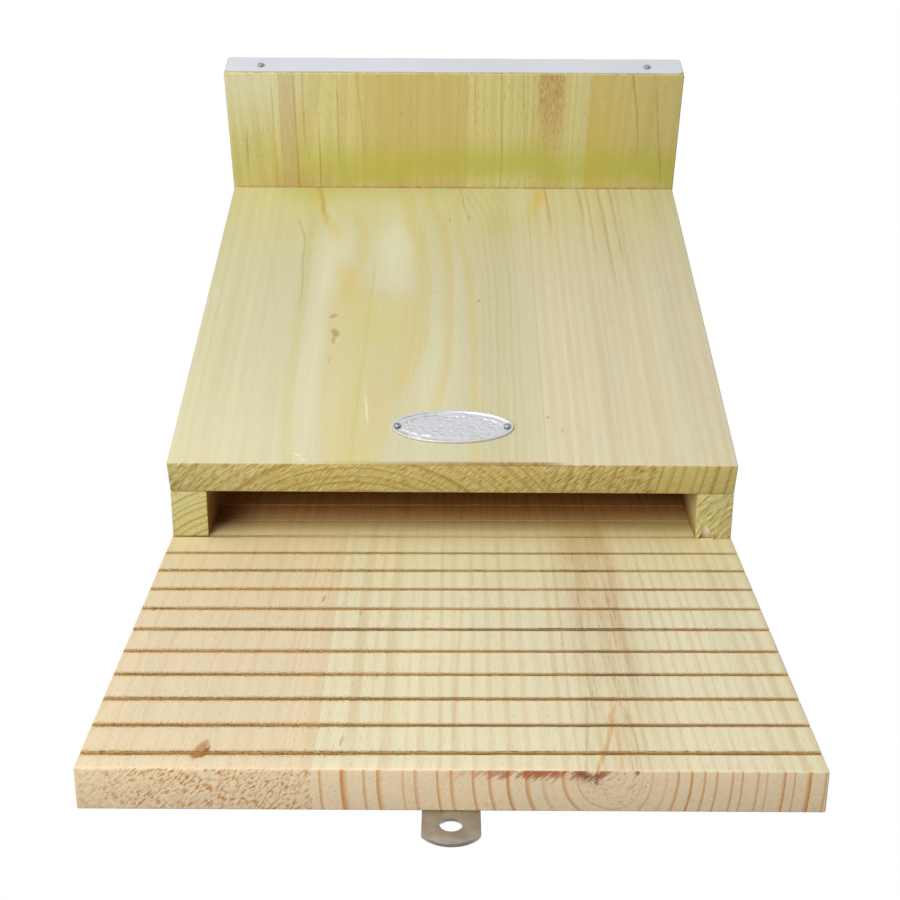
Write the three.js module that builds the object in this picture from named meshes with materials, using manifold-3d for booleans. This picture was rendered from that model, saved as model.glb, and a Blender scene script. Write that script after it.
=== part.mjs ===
// A timber bat box that hangs on a wall: a long kerfed back board that runs down as a landing board,
// two wedge-shaped sides, a front board that leans away from the back, and a roof board under a folded
// zinc sheet. Millimetres. +Z is up, the front faces -Y, and the wall is the plane y = 0, where the
// hangers' back faces lie. z = 0 is the lower end of the back board, and x = 0 is its middle. Left and
// right are as seen from the front.
import * as THREE from "three";
import { mergeVertices } from "three/addons/utils/BufferGeometryUtils.js";
import Module from "manifold-3d";

// Boards
const backWidth = 280;
const backThickness = 18;
const landingLength = 210; // back board below the entry slot
const carcassInset = 0.5; // from the back board's edge to a side board's outer face
const sideThickness = 18;
const slotDepth = 24; // from the back board to the front board, at the mouth
const frontThickness = 18;
const frontLength = 285;
const lean = THREE.MathUtils.degToRad(17); // front board from the back board
const roofInset = 0.2; // from the back board's edge to the roof board's end
const roofThickness = 22;
const roofOverhang = 77; // past the front board's face
const roofSetback = 3; // behind the roof, to the plane of the back board's back
const arris = 0.6; // eased edges of the boards
const seatGap = 0.2; // joint line where a slanted face meets its seat

// Kerfs that the bats climb by
const kerfPitch = 20;
const kerfWidth = 2.2;
const kerfDepth = 2;
const firstKerf = 11.5; // from the lower end to the middle of the lowest kerf
const kerfEndMargin = 3; // whole wood above the highest kerf

// Zinc sheet over the roof
const sheetInset = 0.8; // from the roof board's end to the sheet's
const sheetThickness = 0.6;
const sheetBend = 1; // inside radius, and the easing of the roof board's top edges
const frontFlange = 21.6; // down the roof board's front end
const rearFlange = 15;
const flangeCorner = 3;

// Oval plate on the front board
const plateWidth = 61.4;
const plateHeight = 27;
const plateThickness = 1.2;
const plateHeightOnFront = 30; // its middle above the front board's lower edge
const plateRim = 1.3;
const plateField = 0.5; // depth of the field inside the rim
const beadInset = 4.5; // from the plate's edge to the inner bead
const beadWidth = 0.9;
const platePad = 2.8; // radius of the raised pads under the nails
const plateNailInset = 3; // nail to the plate's end

// Hangers, one at each end of the back board
const hangerWidth = 22;
const hangerLength = 80;
const hangerThickness = 1.5;
const hangerTipRise = 6; // height of the curved end
const hangerHole = 8.5;
const hangerHoleInset = 11.9; // from the outer end to the middle of the hole
const lowerReach = 20.3; // past the lower end of the back board
const upperReach = 40; // past the upper end, clear of the roof
const hangerScrewInset = 10; // from the inner end to the first screw
const hangerScrewPitch = 20;

// Fasteners: head and shank diameters, length, and head recess
const backScrew = { head: 8, shank: 4, length: 40, point: 5, slot: 1, slotSpan: 4.6, slotDepth: 1.4 };
const roofScrew = { head: 8, shank: 4, length: 50, point: 5, slot: 1, slotSpan: 4.6, slotDepth: 1.4 };
const hangerScrew = { head: 7, shank: 3.5, length: 16, point: 4, slot: 0.9, slotSpan: 4, slotDepth: 1.2 };
const sheetNail = { head: 4.4, shank: 1.8, length: 16, point: 2.4, rise: 0.9 };
const plateNail = { head: 3.8, shank: 1.5, length: 12, point: 2, rise: 0.8 };
const headSink = 0.1; // screw heads below the surface
const holeGap = 0.15; // around a fastener in its hole
const backScrewEndMargin = 40; // from each end of a side board to its end screws
const backScrewCount = 3;
const roofScrewShares = [0.22, 0.68]; // along a side board's top edge, from the front board
const sheetNailInset = 21; // from the sheet's end
const sheetNailHeight = 8.6; // above the front flange's lower edge
const rearNailHeight = 7;
// Rings of a nail head's dome, each as shares of the head's width and of its rise
const domeShares = [
  [0.5, 0.33],
  [0.33, 0.85],
];
const overrun = 2; // how far a cutter runs past the face it enters
const screwSides = 20;
const nailSides = 14;
const ovalSides = 56;
const holeSides = 40;
const bendSteps = 4;

// Finishes
const finish = (color, roughness, metalness = 0) =>
  new THREE.MeshStandardMaterial({ color, roughness, metalness });
const landingPine = finish(0xe6cf9c, 0.75);
const frontPine = finish(0xdccf9e, 0.72);
const sidePine = finish(0xc9b978, 0.78);
const roofPine = finish(0xc6b878, 0.75);
const zinc = finish(0xc9ced4, 0.45, 0.85);
const plateSilver = finish(0xc4c6cc, 0.35, 0.9);
const hangerSteel = finish(0x8d857b, 0.5, 0.9);
const screwSteel = finish(0xb9ab7e, 0.4, 0.9);

const wasm = await Module();
wasm.setup();
const mergeDistance = 1e-3;

function solidOf(geometry) {
  const bare = geometry.clone();
  bare.deleteAttribute("normal");
  bare.deleteAttribute("uv");
  const merged = mergeVertices(bare, mergeDistance);
  const mesh = new wasm.Mesh({
    numProp: 3,
    vertProperties: merged.attributes.position.array,
    triVerts: new Uint32Array(merged.index.array),
  });
  return new wasm.Manifold(mesh);
}

function geometryOf(solid) {
  const mesh = solid.getMesh();
  const places = [];
  for (let i = 0; i < mesh.numVert; i++) {
    places.push(...mesh.vertProperties.slice(i * mesh.numProp, i * mesh.numProp + 3));
  }
  const indexed = new THREE.BufferGeometry();
  indexed.setAttribute("position", new THREE.Float32BufferAttribute(places, 3));
  indexed.setIndex(new THREE.BufferAttribute(mesh.triVerts, 1));
  const faceted = indexed.toNonIndexed();
  faceted.computeVertexNormals();
  return faceted;
}

function cut(geometry, cutters) {
  const left = cutters.reduce((solid, cutter) => solid.subtract(solidOf(cutter)), solidOf(geometry));
  return geometryOf(left);
}

// Frames: the front board and everything on the roof stand in one leaning frame. Its origin is the front
// board's inner lower edge, local +Z runs up the front board, and local +Y points back through it.
const backFace = -hangerThickness;
const boardFace = backFace - backThickness;
const slotFront = boardFace - slotDepth;
const carcassWidth = backWidth - 2 * carcassInset;
const roofWidth = backWidth - 2 * roofInset;
const sheetWidth = roofWidth - 2 * sheetInset;
const leaningFrame = new THREE.Matrix4()
  .makeTranslation(0, slotFront, landingLength)
  .multiply(new THREE.Matrix4().makeRotationX(lean));
// Height at which the plane that lies below the roof's underside by seatGap meets a given y
const roofSeatAt = (y) =>
  landingLength + (frontLength - seatGap + (y - slotFront) * Math.sin(lean)) / Math.cos(lean);
// Place along the roof, in the leaning frame, at which its underside meets a given y
const alongRoofAt = (y) => (y - slotFront + frontLength * Math.sin(lean)) / Math.cos(lean);

const roofFront = -frontThickness - roofOverhang;
const roofRear = alongRoofAt(backFace) - roofSetback;
const roofTop = frontLength + roofThickness;
const sideRearTop = alongRoofAt(boardFace);

// A straight piece across the box: its section is drawn in y and z, and it is centred on x = 0.
function acrossBox(section, width, ease = 0) {
  const body = new THREE.ExtrudeGeometry(section, {
    depth: width - 2 * ease,
    bevelEnabled: ease > 0,
    bevelThickness: ease,
    bevelSize: ease,
    bevelOffset: -ease,
    bevelSegments: 1,
    curveSegments: bendSteps,
  });
  body.translate(0, 0, ease - width / 2);
  const across = new THREE.Vector3(1, 0, 0);
  const drawnX = new THREE.Vector3(0, 1, 0);
  const drawnY = new THREE.Vector3(0, 0, 1);
  return body.applyMatrix4(new THREE.Matrix4().makeBasis(drawnX, drawnY, across));
}

// An outline through the given corners, each cut off at its own distance; an ease of 0 leaves it sharp.
function easedOutline(corners, eases) {
  const points = corners.flatMap((corner, i) => {
    if (eases[i] === 0) return [corner];
    const before = corners[(i + corners.length - 1) % corners.length];
    const after = corners[(i + 1) % corners.length];
    const toward = (neighbour) => neighbour.clone().sub(corner).setLength(eases[i]);
    return [before, after].map((neighbour) => toward(neighbour).add(corner));
  });
  return new THREE.Shape(points);
}

const at = (y, z) => new THREE.Vector2(y, z);

// A turned piece about local Z; the profile lists [radius, height] from its lowest point to its highest.
function turned(profile, sides) {
  const points = profile.map(([radius, height]) => new THREE.Vector2(radius, height));
  return new THREE.LatheGeometry(points, sides).rotateX(Math.PI / 2);
}

// Placements of a fastener: its head lies at the given place, and its local +Z points out of the head.
const facing = (angle) => (x, y, z) =>
  new THREE.Matrix4().makeTranslation(x, y, z).multiply(new THREE.Matrix4().makeRotationX(angle));
const facingBack = facing(-Math.PI / 2);
const facingFront = facing(Math.PI / 2);
const facingUp = facing(0);

// Profile of a countersunk screw from its point to the widest ring of its head, grown by a gap
function screwProfile({ head, shank, length, point }, grow) {
  const ring = -headSink - grow;
  return [
    [0, -length - grow],
    [shank / 2 + grow, point - length - grow],
    [shank / 2 + grow, ring - (head - shank) / 2],
    [head / 2 + grow, ring],
  ];
}

// Countersunk screw with a cross slot
function screw(size) {
  const body = turned([...screwProfile(size, 0), [0, -headSink]], screwSides);
  const bar = (x, y) => new THREE.BoxGeometry(x, y, 2 * size.slotDepth).translate(0, 0, -headSink);
  return cut(body, [bar(size.slot, size.slotSpan), bar(size.slotSpan, size.slot)]);
}

function screwHole(size) {
  const mouth = size.head / 2 + holeGap;
  return turned([...screwProfile(size, holeGap), [mouth, overrun], [0, overrun]], screwSides);
}

// Nail with a domed head, which stands on local z = 0
function nail({ head, shank, length, point, rise }) {
  const dome = domeShares.map(([width, height]) => [head * width, seatGap + rise * height]);
  return turned(
    [
      [0, -length],
      [shank / 2, point - length],
      [shank / 2, seatGap],
      [head / 2, seatGap],
      ...dome,
      [0, seatGap + rise],
    ],
    nailSides,
  );
}

function nailHole({ shank, length, point }) {
  const radius = shank / 2 + holeGap;
  return turned(
    [
      [0, -length - holeGap],
      [radius, point - length - holeGap],
      [radius, overrun],
      [0, overrun],
    ],
    nailSides,
  );
}

const box = new THREE.Group();
const leaning = new THREE.Group();
leaning.applyMatrix4(leaningFrame);
box.add(leaning);

function addPiece(group, name, geometry, material, placement = new THREE.Matrix4()) {
  const mesh = new THREE.Mesh(geometry, material);
  mesh.name = name;
  mesh.applyMatrix4(placement);
  group.add(mesh);
}

const bothHands = [
  ["left", -1],
  ["right", 1],
];

// Where the fasteners stand
const sideMiddle = (carcassWidth - sideThickness) / 2;
const sideTopAtBack = roofSeatAt(boardFace);
const backScrewSpan = sideTopAtBack - landingLength - 2 * backScrewEndMargin;
const backScrews = bothHands.flatMap(([hand, sign]) =>
  Array.from({ length: backScrewCount }, (_, i) => ({
    name: `back_screw_${hand}_${i + 1}`,
    place: facingBack(
      sign * sideMiddle,
      backFace,
      landingLength + backScrewEndMargin + (backScrewSpan * i) / (backScrewCount - 1),
    ),
  })),
);
const roofScrews = bothHands.flatMap(([hand, sign]) =>
  roofScrewShares.map((share, i) => ({
    name: `roof_screw_${hand}_${i + 1}`,
    place: facingUp(sign * sideMiddle, sideRearTop * share, roofTop),
  })),
);

const backTopAtBack = roofSeatAt(backFace);
const hangers = [
  { name: "lower", outerEnd: -lowerReach, inward: 1 },
  { name: "upper", outerEnd: backTopAtBack + upperReach, inward: -1 },
].map(({ name, outerEnd, inward }) => {
  const insets = [hangerScrewInset, hangerScrewInset + hangerScrewPitch];
  const screws = insets.map((inset, i) => ({
    name: `hanger_screw_${name}_${i + 1}`,
    place: facingBack(0, 0, outerEnd + inward * (hangerLength - inset)),
  }));
  return { name, outerEnd, inward, screws };
});
const hangerScrews = hangers.flatMap(({ screws }) => screws);

const nailX = sheetWidth / 2 - sheetNailInset;
const sheetFace = roofFront - seatGap - sheetThickness;
const sheetBack = roofRear + seatGap + sheetThickness;
const sheetTop = roofTop + seatGap + sheetThickness;
const sheetNails = bothHands.flatMap(([hand, sign]) => [
  {
    name: `sheet_nail_front_${hand}`,
    place: facingFront(sign * nailX, sheetFace, sheetTop - frontFlange + sheetNailHeight),
  },
  {
    name: `sheet_nail_rear_${hand}`,
    place: facingBack(sign * nailX, sheetBack, sheetTop - rearFlange + rearNailHeight),
  },
]);
const plateFace = -frontThickness - seatGap - plateThickness;
const plateNails = bothHands.map(([hand, sign]) => ({
  name: `plate_nail_${hand}`,
  place: facingFront(sign * (plateWidth / 2 - plateNailInset), plateFace, plateHeightOnFront),
}));

// Back board: one long section with a kerf at every pitch, and a bevelled top that the roof lies on
function backBoard() {
  const frontTop = roofSeatAt(boardFace);
  const corners = [at(backFace, 0), at(backFace, backTopAtBack), at(boardFace, frontTop)];
  const kerfs = [];
  const lastKerf = frontTop - kerfEndMargin - kerfWidth / 2;
  for (let z = firstKerf; z <= lastKerf; z += kerfPitch) kerfs.unshift(z);
  for (const z of kerfs) {
    corners.push(at(boardFace, z + kerfWidth / 2), at(boardFace + kerfDepth, z + kerfWidth / 2));
    corners.push(at(boardFace + kerfDepth, z - kerfWidth / 2), at(boardFace, z - kerfWidth / 2));
  }
  corners.push(at(boardFace, 0));
  const eases = corners.map((_, i) => (i === 0 || i === corners.length - 1 ? arris : 0));
  const board = acrossBox(easedOutline(corners, eases), backWidth, arris);
  const holes = backScrews.map(({ place }) => screwHole(backScrew).applyMatrix4(place));
  const hangerHoles = hangerScrews.map(({ place }) => screwHole(hangerScrew).applyMatrix4(place));
  return cut(board, [...holes, ...hangerHoles]);
}

// Side board: a wedge, square to the back board at its foot and bevelled along the roof
function sideBoard(sign) {
  const frontTop = new THREE.Vector3(0, 0, frontLength - seatGap).applyMatrix4(leaningFrame);
  const section = new THREE.Shape([
    at(boardFace, landingLength),
    at(boardFace, sideTopAtBack),
    at(frontTop.y, frontTop.z),
    at(slotFront, landingLength),
  ]);
  const board = acrossBox(section, sideThickness, arris).translate(sign * sideMiddle, 0, 0);
  const backHoles = backScrews.map(({ place }) => screwHole(backScrew).applyMatrix4(place));
  const roofHoles = roofScrews.map(({ place }) =>
    screwHole(roofScrew).applyMatrix4(place).applyMatrix4(leaningFrame),
  );
  return cut(board, [...backHoles, ...roofHoles]);
}

// Front board, in the leaning frame
function frontBoard() {
  const section = easedOutline(
    [
      at(-seatGap, 0),
      at(-seatGap, frontLength - seatGap),
      at(-frontThickness - seatGap, frontLength - seatGap),
      at(-frontThickness - seatGap, 0),
    ],
    [arris, arris, arris, arris],
  );
  const board = acrossBox(section, carcassWidth, arris);
  return cut(board, plateNails.map(({ place }) => nailHole(plateNail).applyMatrix4(place)));
}

// Roof board, in the leaning frame: its top edges are eased to sit in the sheet's bends
function roofBoard() {
  const section = easedOutline(
    [at(roofRear, frontLength), at(roofRear, roofTop), at(roofFront, roofTop), at(roofFront, frontLength)],
    [arris, sheetBend, sheetBend, arris],
  );
  const board = acrossBox(section, roofWidth, arris);
  const nailHoles = sheetNails.map(({ place }) => nailHole(sheetNail).applyMatrix4(place));
  const screwHoles = roofScrews.map(({ place }) => screwHole(roofScrew).applyMatrix4(place));
  return cut(board, [...nailHoles, ...screwHoles]);
}

// Zinc sheet, in the leaning frame: folded down over the front and rear ends of the roof board
function roofSheet() {
  const outer = sheetBend + sheetThickness;
  const section = new THREE.Shape();
  section.moveTo(sheetBack, sheetTop - rearFlange);
  section.lineTo(sheetBack, sheetTop - outer);
  section.absarc(sheetBack - outer, sheetTop - outer, outer, 0, Math.PI / 2);
  section.lineTo(sheetFace + outer, sheetTop);
  section.absarc(sheetFace + outer, sheetTop - outer, outer, Math.PI / 2, Math.PI);
  section.lineTo(sheetFace, sheetTop - frontFlange);
  section.lineTo(sheetFace + sheetThickness, sheetTop - frontFlange);
  section.lineTo(sheetFace + sheetThickness, sheetTop - outer);
  section.absarc(sheetFace + outer, sheetTop - outer, sheetBend, Math.PI, Math.PI / 2, true);
  section.lineTo(sheetBack - outer, sheetTop - sheetThickness);
  section.absarc(sheetBack - outer, sheetTop - outer, sheetBend, Math.PI / 2, 0, true);
  section.lineTo(sheetBack - sheetThickness, sheetTop - rearFlange);
  const sheet = acrossBox(section, sheetWidth);
  const corners = bothHands.flatMap(([, sign]) => [
    flangeCornerCutter(sign, sheetFace - overrun, sheetTop - frontFlange),
    flangeCornerCutter(sign, sheetBack - sheetThickness - overrun, sheetTop - rearFlange),
  ]);
  const holes = sheetNails.map(({ place }) => nailHole(sheetNail).applyMatrix4(place));
  return cut(sheet, [...corners, ...holes]);
}

// The waste outside a flange's rounded lower corner: near is where it starts along the roof, and low is
// the flange's lower edge.
function flangeCornerCutter(sign, near, low) {
  const edge = sheetWidth / 2;
  const waste = new THREE.Shape();
  waste.moveTo(edge + overrun, low - overrun);
  waste.lineTo(edge + overrun, low + flangeCorner);
  waste.lineTo(edge, low + flangeCorner);
  waste.absarc(edge - flangeCorner, low + flangeCorner, flangeCorner, 0, -Math.PI / 2, true);
  waste.lineTo(edge - flangeCorner, low - overrun);
  const depth = sheetThickness + 2 * overrun;
  const cutter = new THREE.ExtrudeGeometry(waste, { depth, bevelEnabled: false, curveSegments: bendSteps });
  cutter.rotateX(Math.PI / 2).translate(0, near + depth, 0);
  return sign > 0 ? cutter : cutter.rotateZ(Math.PI).translate(0, 2 * near + depth, 0);
}

// A flat piece drawn in x and z, from its face at y = near to near + depth
function flatPiece(shape, near, depth, sides) {
  const body = new THREE.ExtrudeGeometry(shape, { depth, bevelEnabled: false, curveSegments: sides });
  return body.rotateX(Math.PI / 2).translate(0, near + depth, 0);
}

function oval(inset) {
  const shape = new THREE.Shape();
  return shape.absellipse(0, 0, plateWidth / 2 - inset, plateHeight / 2 - inset, 0, 2 * Math.PI);
}

// Oval plate, in the leaning frame: a rim, a sunk field with one plain bead, and a pad under each nail
function ovalPlate() {
  const slab = (inset, near, depth) => solidOf(flatPiece(oval(inset), near, depth, ovalSides));
  const blank = slab(0, plateFace, plateThickness);
  const field = slab(plateRim, plateFace - overrun, plateField + overrun);
  const insideBead = slab(beadInset + beadWidth, plateFace - overrun, plateField + 2 * overrun);
  const bead = slab(beadInset, plateFace, plateField).subtract(insideBead);
  const pads = bothHands.map(([, sign]) => {
    const pad = new THREE.CylinderGeometry(platePad, platePad, plateThickness, screwSides);
    pad.translate(sign * (plateWidth / 2 - plateNailInset), plateFace + plateThickness / 2, 0);
    return solidOf(pad).intersect(blank);
  });
  const plate = pads.reduce((solid, pad) => solid.add(pad), blank.subtract(field).add(bead));
  const placed = geometryOf(plate).translate(0, 0, plateHeightOnFront);
  return cut(placed, plateNails.map(({ place }) => nailHole(plateNail).applyMatrix4(place)));
}

// Hanger: a steel strip with curved ends, one large hole for the wall screw and two countersunk ones
function hanger({ outerEnd, inward, screws }) {
  const halfWidth = hangerWidth / 2;
  const tipRadius = (halfWidth ** 2 + hangerTipRise ** 2) / (2 * hangerTipRise);
  const tipAngle = Math.asin(halfWidth / tipRadius);
  const strip = new THREE.Shape();
  strip.absarc(0, hangerLength - tipRadius, tipRadius, Math.PI / 2 - tipAngle, Math.PI / 2 + tipAngle);
  strip.absarc(0, tipRadius, tipRadius, -Math.PI / 2 - tipAngle, -Math.PI / 2 + tipAngle);
  strip.holes.push(new THREE.Path().absarc(0, hangerHoleInset, hangerHole / 2, 0, 2 * Math.PI, true));
  const body = flatPiece(strip, -hangerThickness, hangerThickness, holeSides / 2);
  const standing = body.rotateY(inward < 0 ? Math.PI : 0).translate(0, 0, outerEnd);
  return cut(standing, screws.map(({ place }) => screwHole(hangerScrew).applyMatrix4(place)));
}

addPiece(box, "back_board", backBoard(), landingPine);
for (const [hand, sign] of bothHands) addPiece(box, `side_board_${hand}`, sideBoard(sign), sidePine);
addPiece(leaning, "front_board", frontBoard(), frontPine);
addPiece(leaning, "roof_board", roofBoard(), roofPine);
addPiece(leaning, "roof_sheet", roofSheet(), zinc);
addPiece(leaning, "oval_plate", ovalPlate(), plateSilver);
for (const one of hangers) addPiece(box, `hanger_${one.name}`, hanger(one), hangerSteel);
for (const { name, place } of backScrews) addPiece(box, name, screw(backScrew), screwSteel, place);
for (const { name, place } of hangerScrews) addPiece(box, name, screw(hangerScrew), screwSteel, place);
for (const { name, place } of roofScrews) addPiece(leaning, name, screw(roofScrew), screwSteel, place);
for (const { name, place } of sheetNails) addPiece(leaning, name, nail(sheetNail), zinc, place);
for (const { name, place } of plateNails) addPiece(leaning, name, nail(plateNail), plateSilver, place);

export default box;
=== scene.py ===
"""The looks of a timber bat box: kerfed boards, a folded zinc sheet, an oval plate, hangers and fasteners.

The file is laid out as an add-on. Each piece or group of like pieces has an operator of its own, and their
sizes and colours are in the scene's bat box settings. Lengths are metres, apart from the wood's figure, which
is drawn in millimetres on each board's own axes. +Z is up, the front faces -Y, and left and right are as seen
from the front.
"""

import math
from collections import namedtuple
from contextlib import contextmanager

import bmesh
import bpy
from mathutils import Matrix, Vector


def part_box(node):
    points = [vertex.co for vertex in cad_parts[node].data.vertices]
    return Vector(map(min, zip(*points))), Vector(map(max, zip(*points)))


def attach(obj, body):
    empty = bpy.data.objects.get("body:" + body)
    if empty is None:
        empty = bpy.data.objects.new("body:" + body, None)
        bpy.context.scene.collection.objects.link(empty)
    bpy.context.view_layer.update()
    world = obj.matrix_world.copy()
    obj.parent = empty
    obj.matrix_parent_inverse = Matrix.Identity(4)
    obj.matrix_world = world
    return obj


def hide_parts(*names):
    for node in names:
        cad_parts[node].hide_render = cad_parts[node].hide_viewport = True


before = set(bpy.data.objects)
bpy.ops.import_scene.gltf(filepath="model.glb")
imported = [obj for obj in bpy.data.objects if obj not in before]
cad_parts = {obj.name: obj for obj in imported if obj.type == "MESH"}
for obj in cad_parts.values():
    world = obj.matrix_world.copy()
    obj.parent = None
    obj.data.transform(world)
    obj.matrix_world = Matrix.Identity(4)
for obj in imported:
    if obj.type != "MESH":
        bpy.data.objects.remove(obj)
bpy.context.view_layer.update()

bl_info = {
    "name": "Bat box",
    "version": (1, 0, 0),
    "blender": (4, 5, 0),
    "location": "3D View > Sidebar > Bat box",
    "description": "Models and finishes a timber bat box around its packed frame",
    "category": "Object",
}

BODY = "root"
MM = 0.001
CLOSE = 1e-5             # two places nearer than this are the same
HANDS = (("left", -1), ("right", 1))
NAIL_SIDES, SCREW_SIDES = 24, 32
SENSOR_WIDTH = 36.0      # of the camera, in millimetres
BOX_MIDDLE = (0, -0.06, 0.24)

# Edges sharper than these, in degrees, stay sharp under smooth shading
BOARD_SHARP, STEEL_SHARP, PLATE_SHARP = 30.0, 35.0, 40.0

# Each light's way from the middle of the box, and its size
LIGHTS = {
    "key": ((-0.42, -1.36, -0.72), 0.7),
    "low": ((-0.60, -0.78, -1.25), 0.6),
    "fill": ((-0.95, -1.15, -0.25), 1.0),
    "back": ((0.5, 1.3, 1.1), 1.1),
}


def pale(red, green, blue):
    """The linear colour of an sRGB colour given in steps of 0 to 255."""
    shares = [step / 255 for step in (red, green, blue)]
    return tuple(s / 12.92 if s <= 0.04045 else ((s + 0.055) / 1.055) ** 2.4 for s in shares)


def length(name, description, default):
    return bpy.props.FloatProperty(
        name=name, description=description, default=default, min=0.0, precision=5, unit="LENGTH"
    )


def wattage(name, description, default):
    return bpy.props.FloatProperty(name=name, description=description, default=default, unit="POWER")


def tint(name, description, default):
    return bpy.props.FloatVectorProperty(
        name=name, description=description, default=default, min=0.0, max=1.0, size=3, subtype="COLOR"
    )


# Sizes and colours


class BoardSettings(bpy.types.PropertyGroup):
    """Sizes of the five boards"""

    lean: bpy.props.FloatProperty(
        name="Lean", description="Front board from the back board", default=math.radians(17), subtype="ANGLE"
    )
    landing: length("Landing", "Back board below the entry slot", 0.210)
    slot: length("Entry slot", "From the back board to the front board at the mouth", 0.024)
    thickness: length("Thickness", "Front board, side boards and back board", 0.018)
    front_length: length("Front length", "Front board, up to the roof board", 0.285)
    roof_thickness: length("Roof thickness", "Roof board", 0.022)
    gap: length("Joint gap", "Joint line where a slanted face meets its seat", 0.0002)
    arris: length("Arris", "Radius of the boards' eased edges", 0.0009)
    grain_relief: length("Grain relief", "Height of the fibres, and of the crumbs on the ends", 0.00022)
    kerf_pitch: length("Kerf pitch", "From kerf to kerf up the back board", 0.020)
    kerf_width: length("Kerf width", "Opening of a kerf", 0.0022)
    kerf_depth: length("Kerf depth", "Kerf into the back board", 0.0020)
    first_kerf: length("First kerf", "Its middle above the lower end", 0.0115)
    kerf_skew: bpy.props.FloatProperty(
        name="Kerf skew", description="Kerfs out of level, rising to the right", default=math.radians(0.5),
        subtype="ANGLE",
    )
    kerf_fuzz: length("Kerf fuzz", "How far the torn edges of a kerf wander", 0.0011)
    kerf_fibre: length("Kerf fibre", "Size of the torn fibres along a kerf", 0.0011)
    chip_inset: length("Chip inset", "Splinter off the right side board's foot, from its inner face", 0.0012)
    chip_width: length("Chip width", "The same splinter, at the back board", 0.0084)
    chip_reach: length("Chip reach", "The same splinter, from the back board forwards", 0.0078)
    chip_height: length("Chip height", "The same splinter, up the board", 0.0045)


class MetalSettings(bpy.types.PropertyGroup):
    """Sizes of the zinc sheet, the oval plate and the small metal pieces"""

    sheet_inset: length("Sheet inset", "From the roof board's end to the sheet's", 0.0008)
    sheet_thickness: length("Sheet thickness", "Zinc sheet", 0.0006)
    sheet_bend: length("Sheet bend", "Outer radius of the folds", 0.0016)
    front_flange: length("Front flange", "Down the roof board's front end", 0.0216)
    rear_flange: length("Rear flange", "Down the roof board's rear end", 0.015)
    flange_corner: length("Flange corner", "Radius of a flange's lower corners", 0.003)
    sheet_wave: length("Sheet wave", "Unevenness of the sheet", 0.0003)
    wave_size: length("Wave size", "From wave to wave of the sheet", 0.03)
    dimple: length("Nail dimple", "Depth of the dent round a sheet nail", 0.0004)
    dimple_core: length("Dimple core", "Radius of the dent's deepest part", 0.0025)
    dimple_reach: length("Dimple reach", "How far the dent's slope runs past its core", 0.006)
    plate_width: length("Plate width", "Oval plate", 0.0614)
    plate_height: length("Plate height", "Oval plate", 0.027)
    plate_thickness: length("Plate thickness", "Oval plate", 0.0012)
    plate_place: length("Plate place", "Plate's middle above the front board's lower edge", 0.030)
    plate_rim: length("Plate rim", "Width of the raised rim", 0.0013)
    plate_field: length("Plate field", "Depth of the field inside the rim", 0.0005)
    bead_inset: length("Bead inset", "From the plate's edge to its raised bead", 0.0042)
    bead_width: length("Bead width", "Raised bead of the plate", 0.0009)
    hammer: length("Hammering", "Depth of the hammered field of the plate", 0.0006)
    hammer_size: length("Hammer mark", "Width of a hammer mark on the plate", 0.0024)
    edge: length("Plate edge", "Radius of the plate's edges", 0.00025)
    hanger_edge: length("Hanger edge", "Radius of the hangers' edges", 0.0003)
    relief: length("Metal relief", "Height of the speckle on the metal pieces", 0.0001)
    screw_head: length("Screw head", "Head of a board screw", 0.008)
    screw_shank: length("Screw shank", "Shank of a board screw", 0.004)
    back_screw: length("Back screw", "Screw from the back board into a side board", 0.040)
    roof_screw: length("Roof screw", "Screw from the roof board into a side board", 0.050)
    point: length("Screw point", "Cone at a board screw's end", 0.005)
    small_head: length("Hanger screw head", "Head of a hanger's screw", 0.007)
    small_shank: length("Hanger screw shank", "Shank of a hanger's screw", 0.0035)
    small_screw: length("Hanger screw", "Screw of a hanger", 0.016)
    small_point: length("Hanger screw point", "Cone at a hanger screw's end", 0.004)
    recess_span: length("Recess span", "Cross recess of a screw, along one arm", 0.0048)
    recess_width: length("Recess width", "Width of the cross recess's arms", 0.0011)
    recess_depth: length("Recess depth", "Cross recess of a screw", 0.0014)
    head_rise: length("Nail rise", "Dome of a nail's head", 0.0009)
    sheet_nail_head: length("Sheet nail head", "Head of a sheet nail", 0.0044)
    sheet_nail_shank: length("Sheet nail shank", "Shank of a sheet nail", 0.0018)
    sheet_nail: length("Sheet nail", "Nail of the zinc sheet", 0.016)
    plate_nail_head: length("Plate nail head", "Head of a plate nail", 0.0038)
    plate_nail_shank: length("Plate nail shank", "Shank of a plate nail", 0.0015)
    plate_nail: length("Plate nail", "Nail of the oval plate", 0.012)


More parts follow.
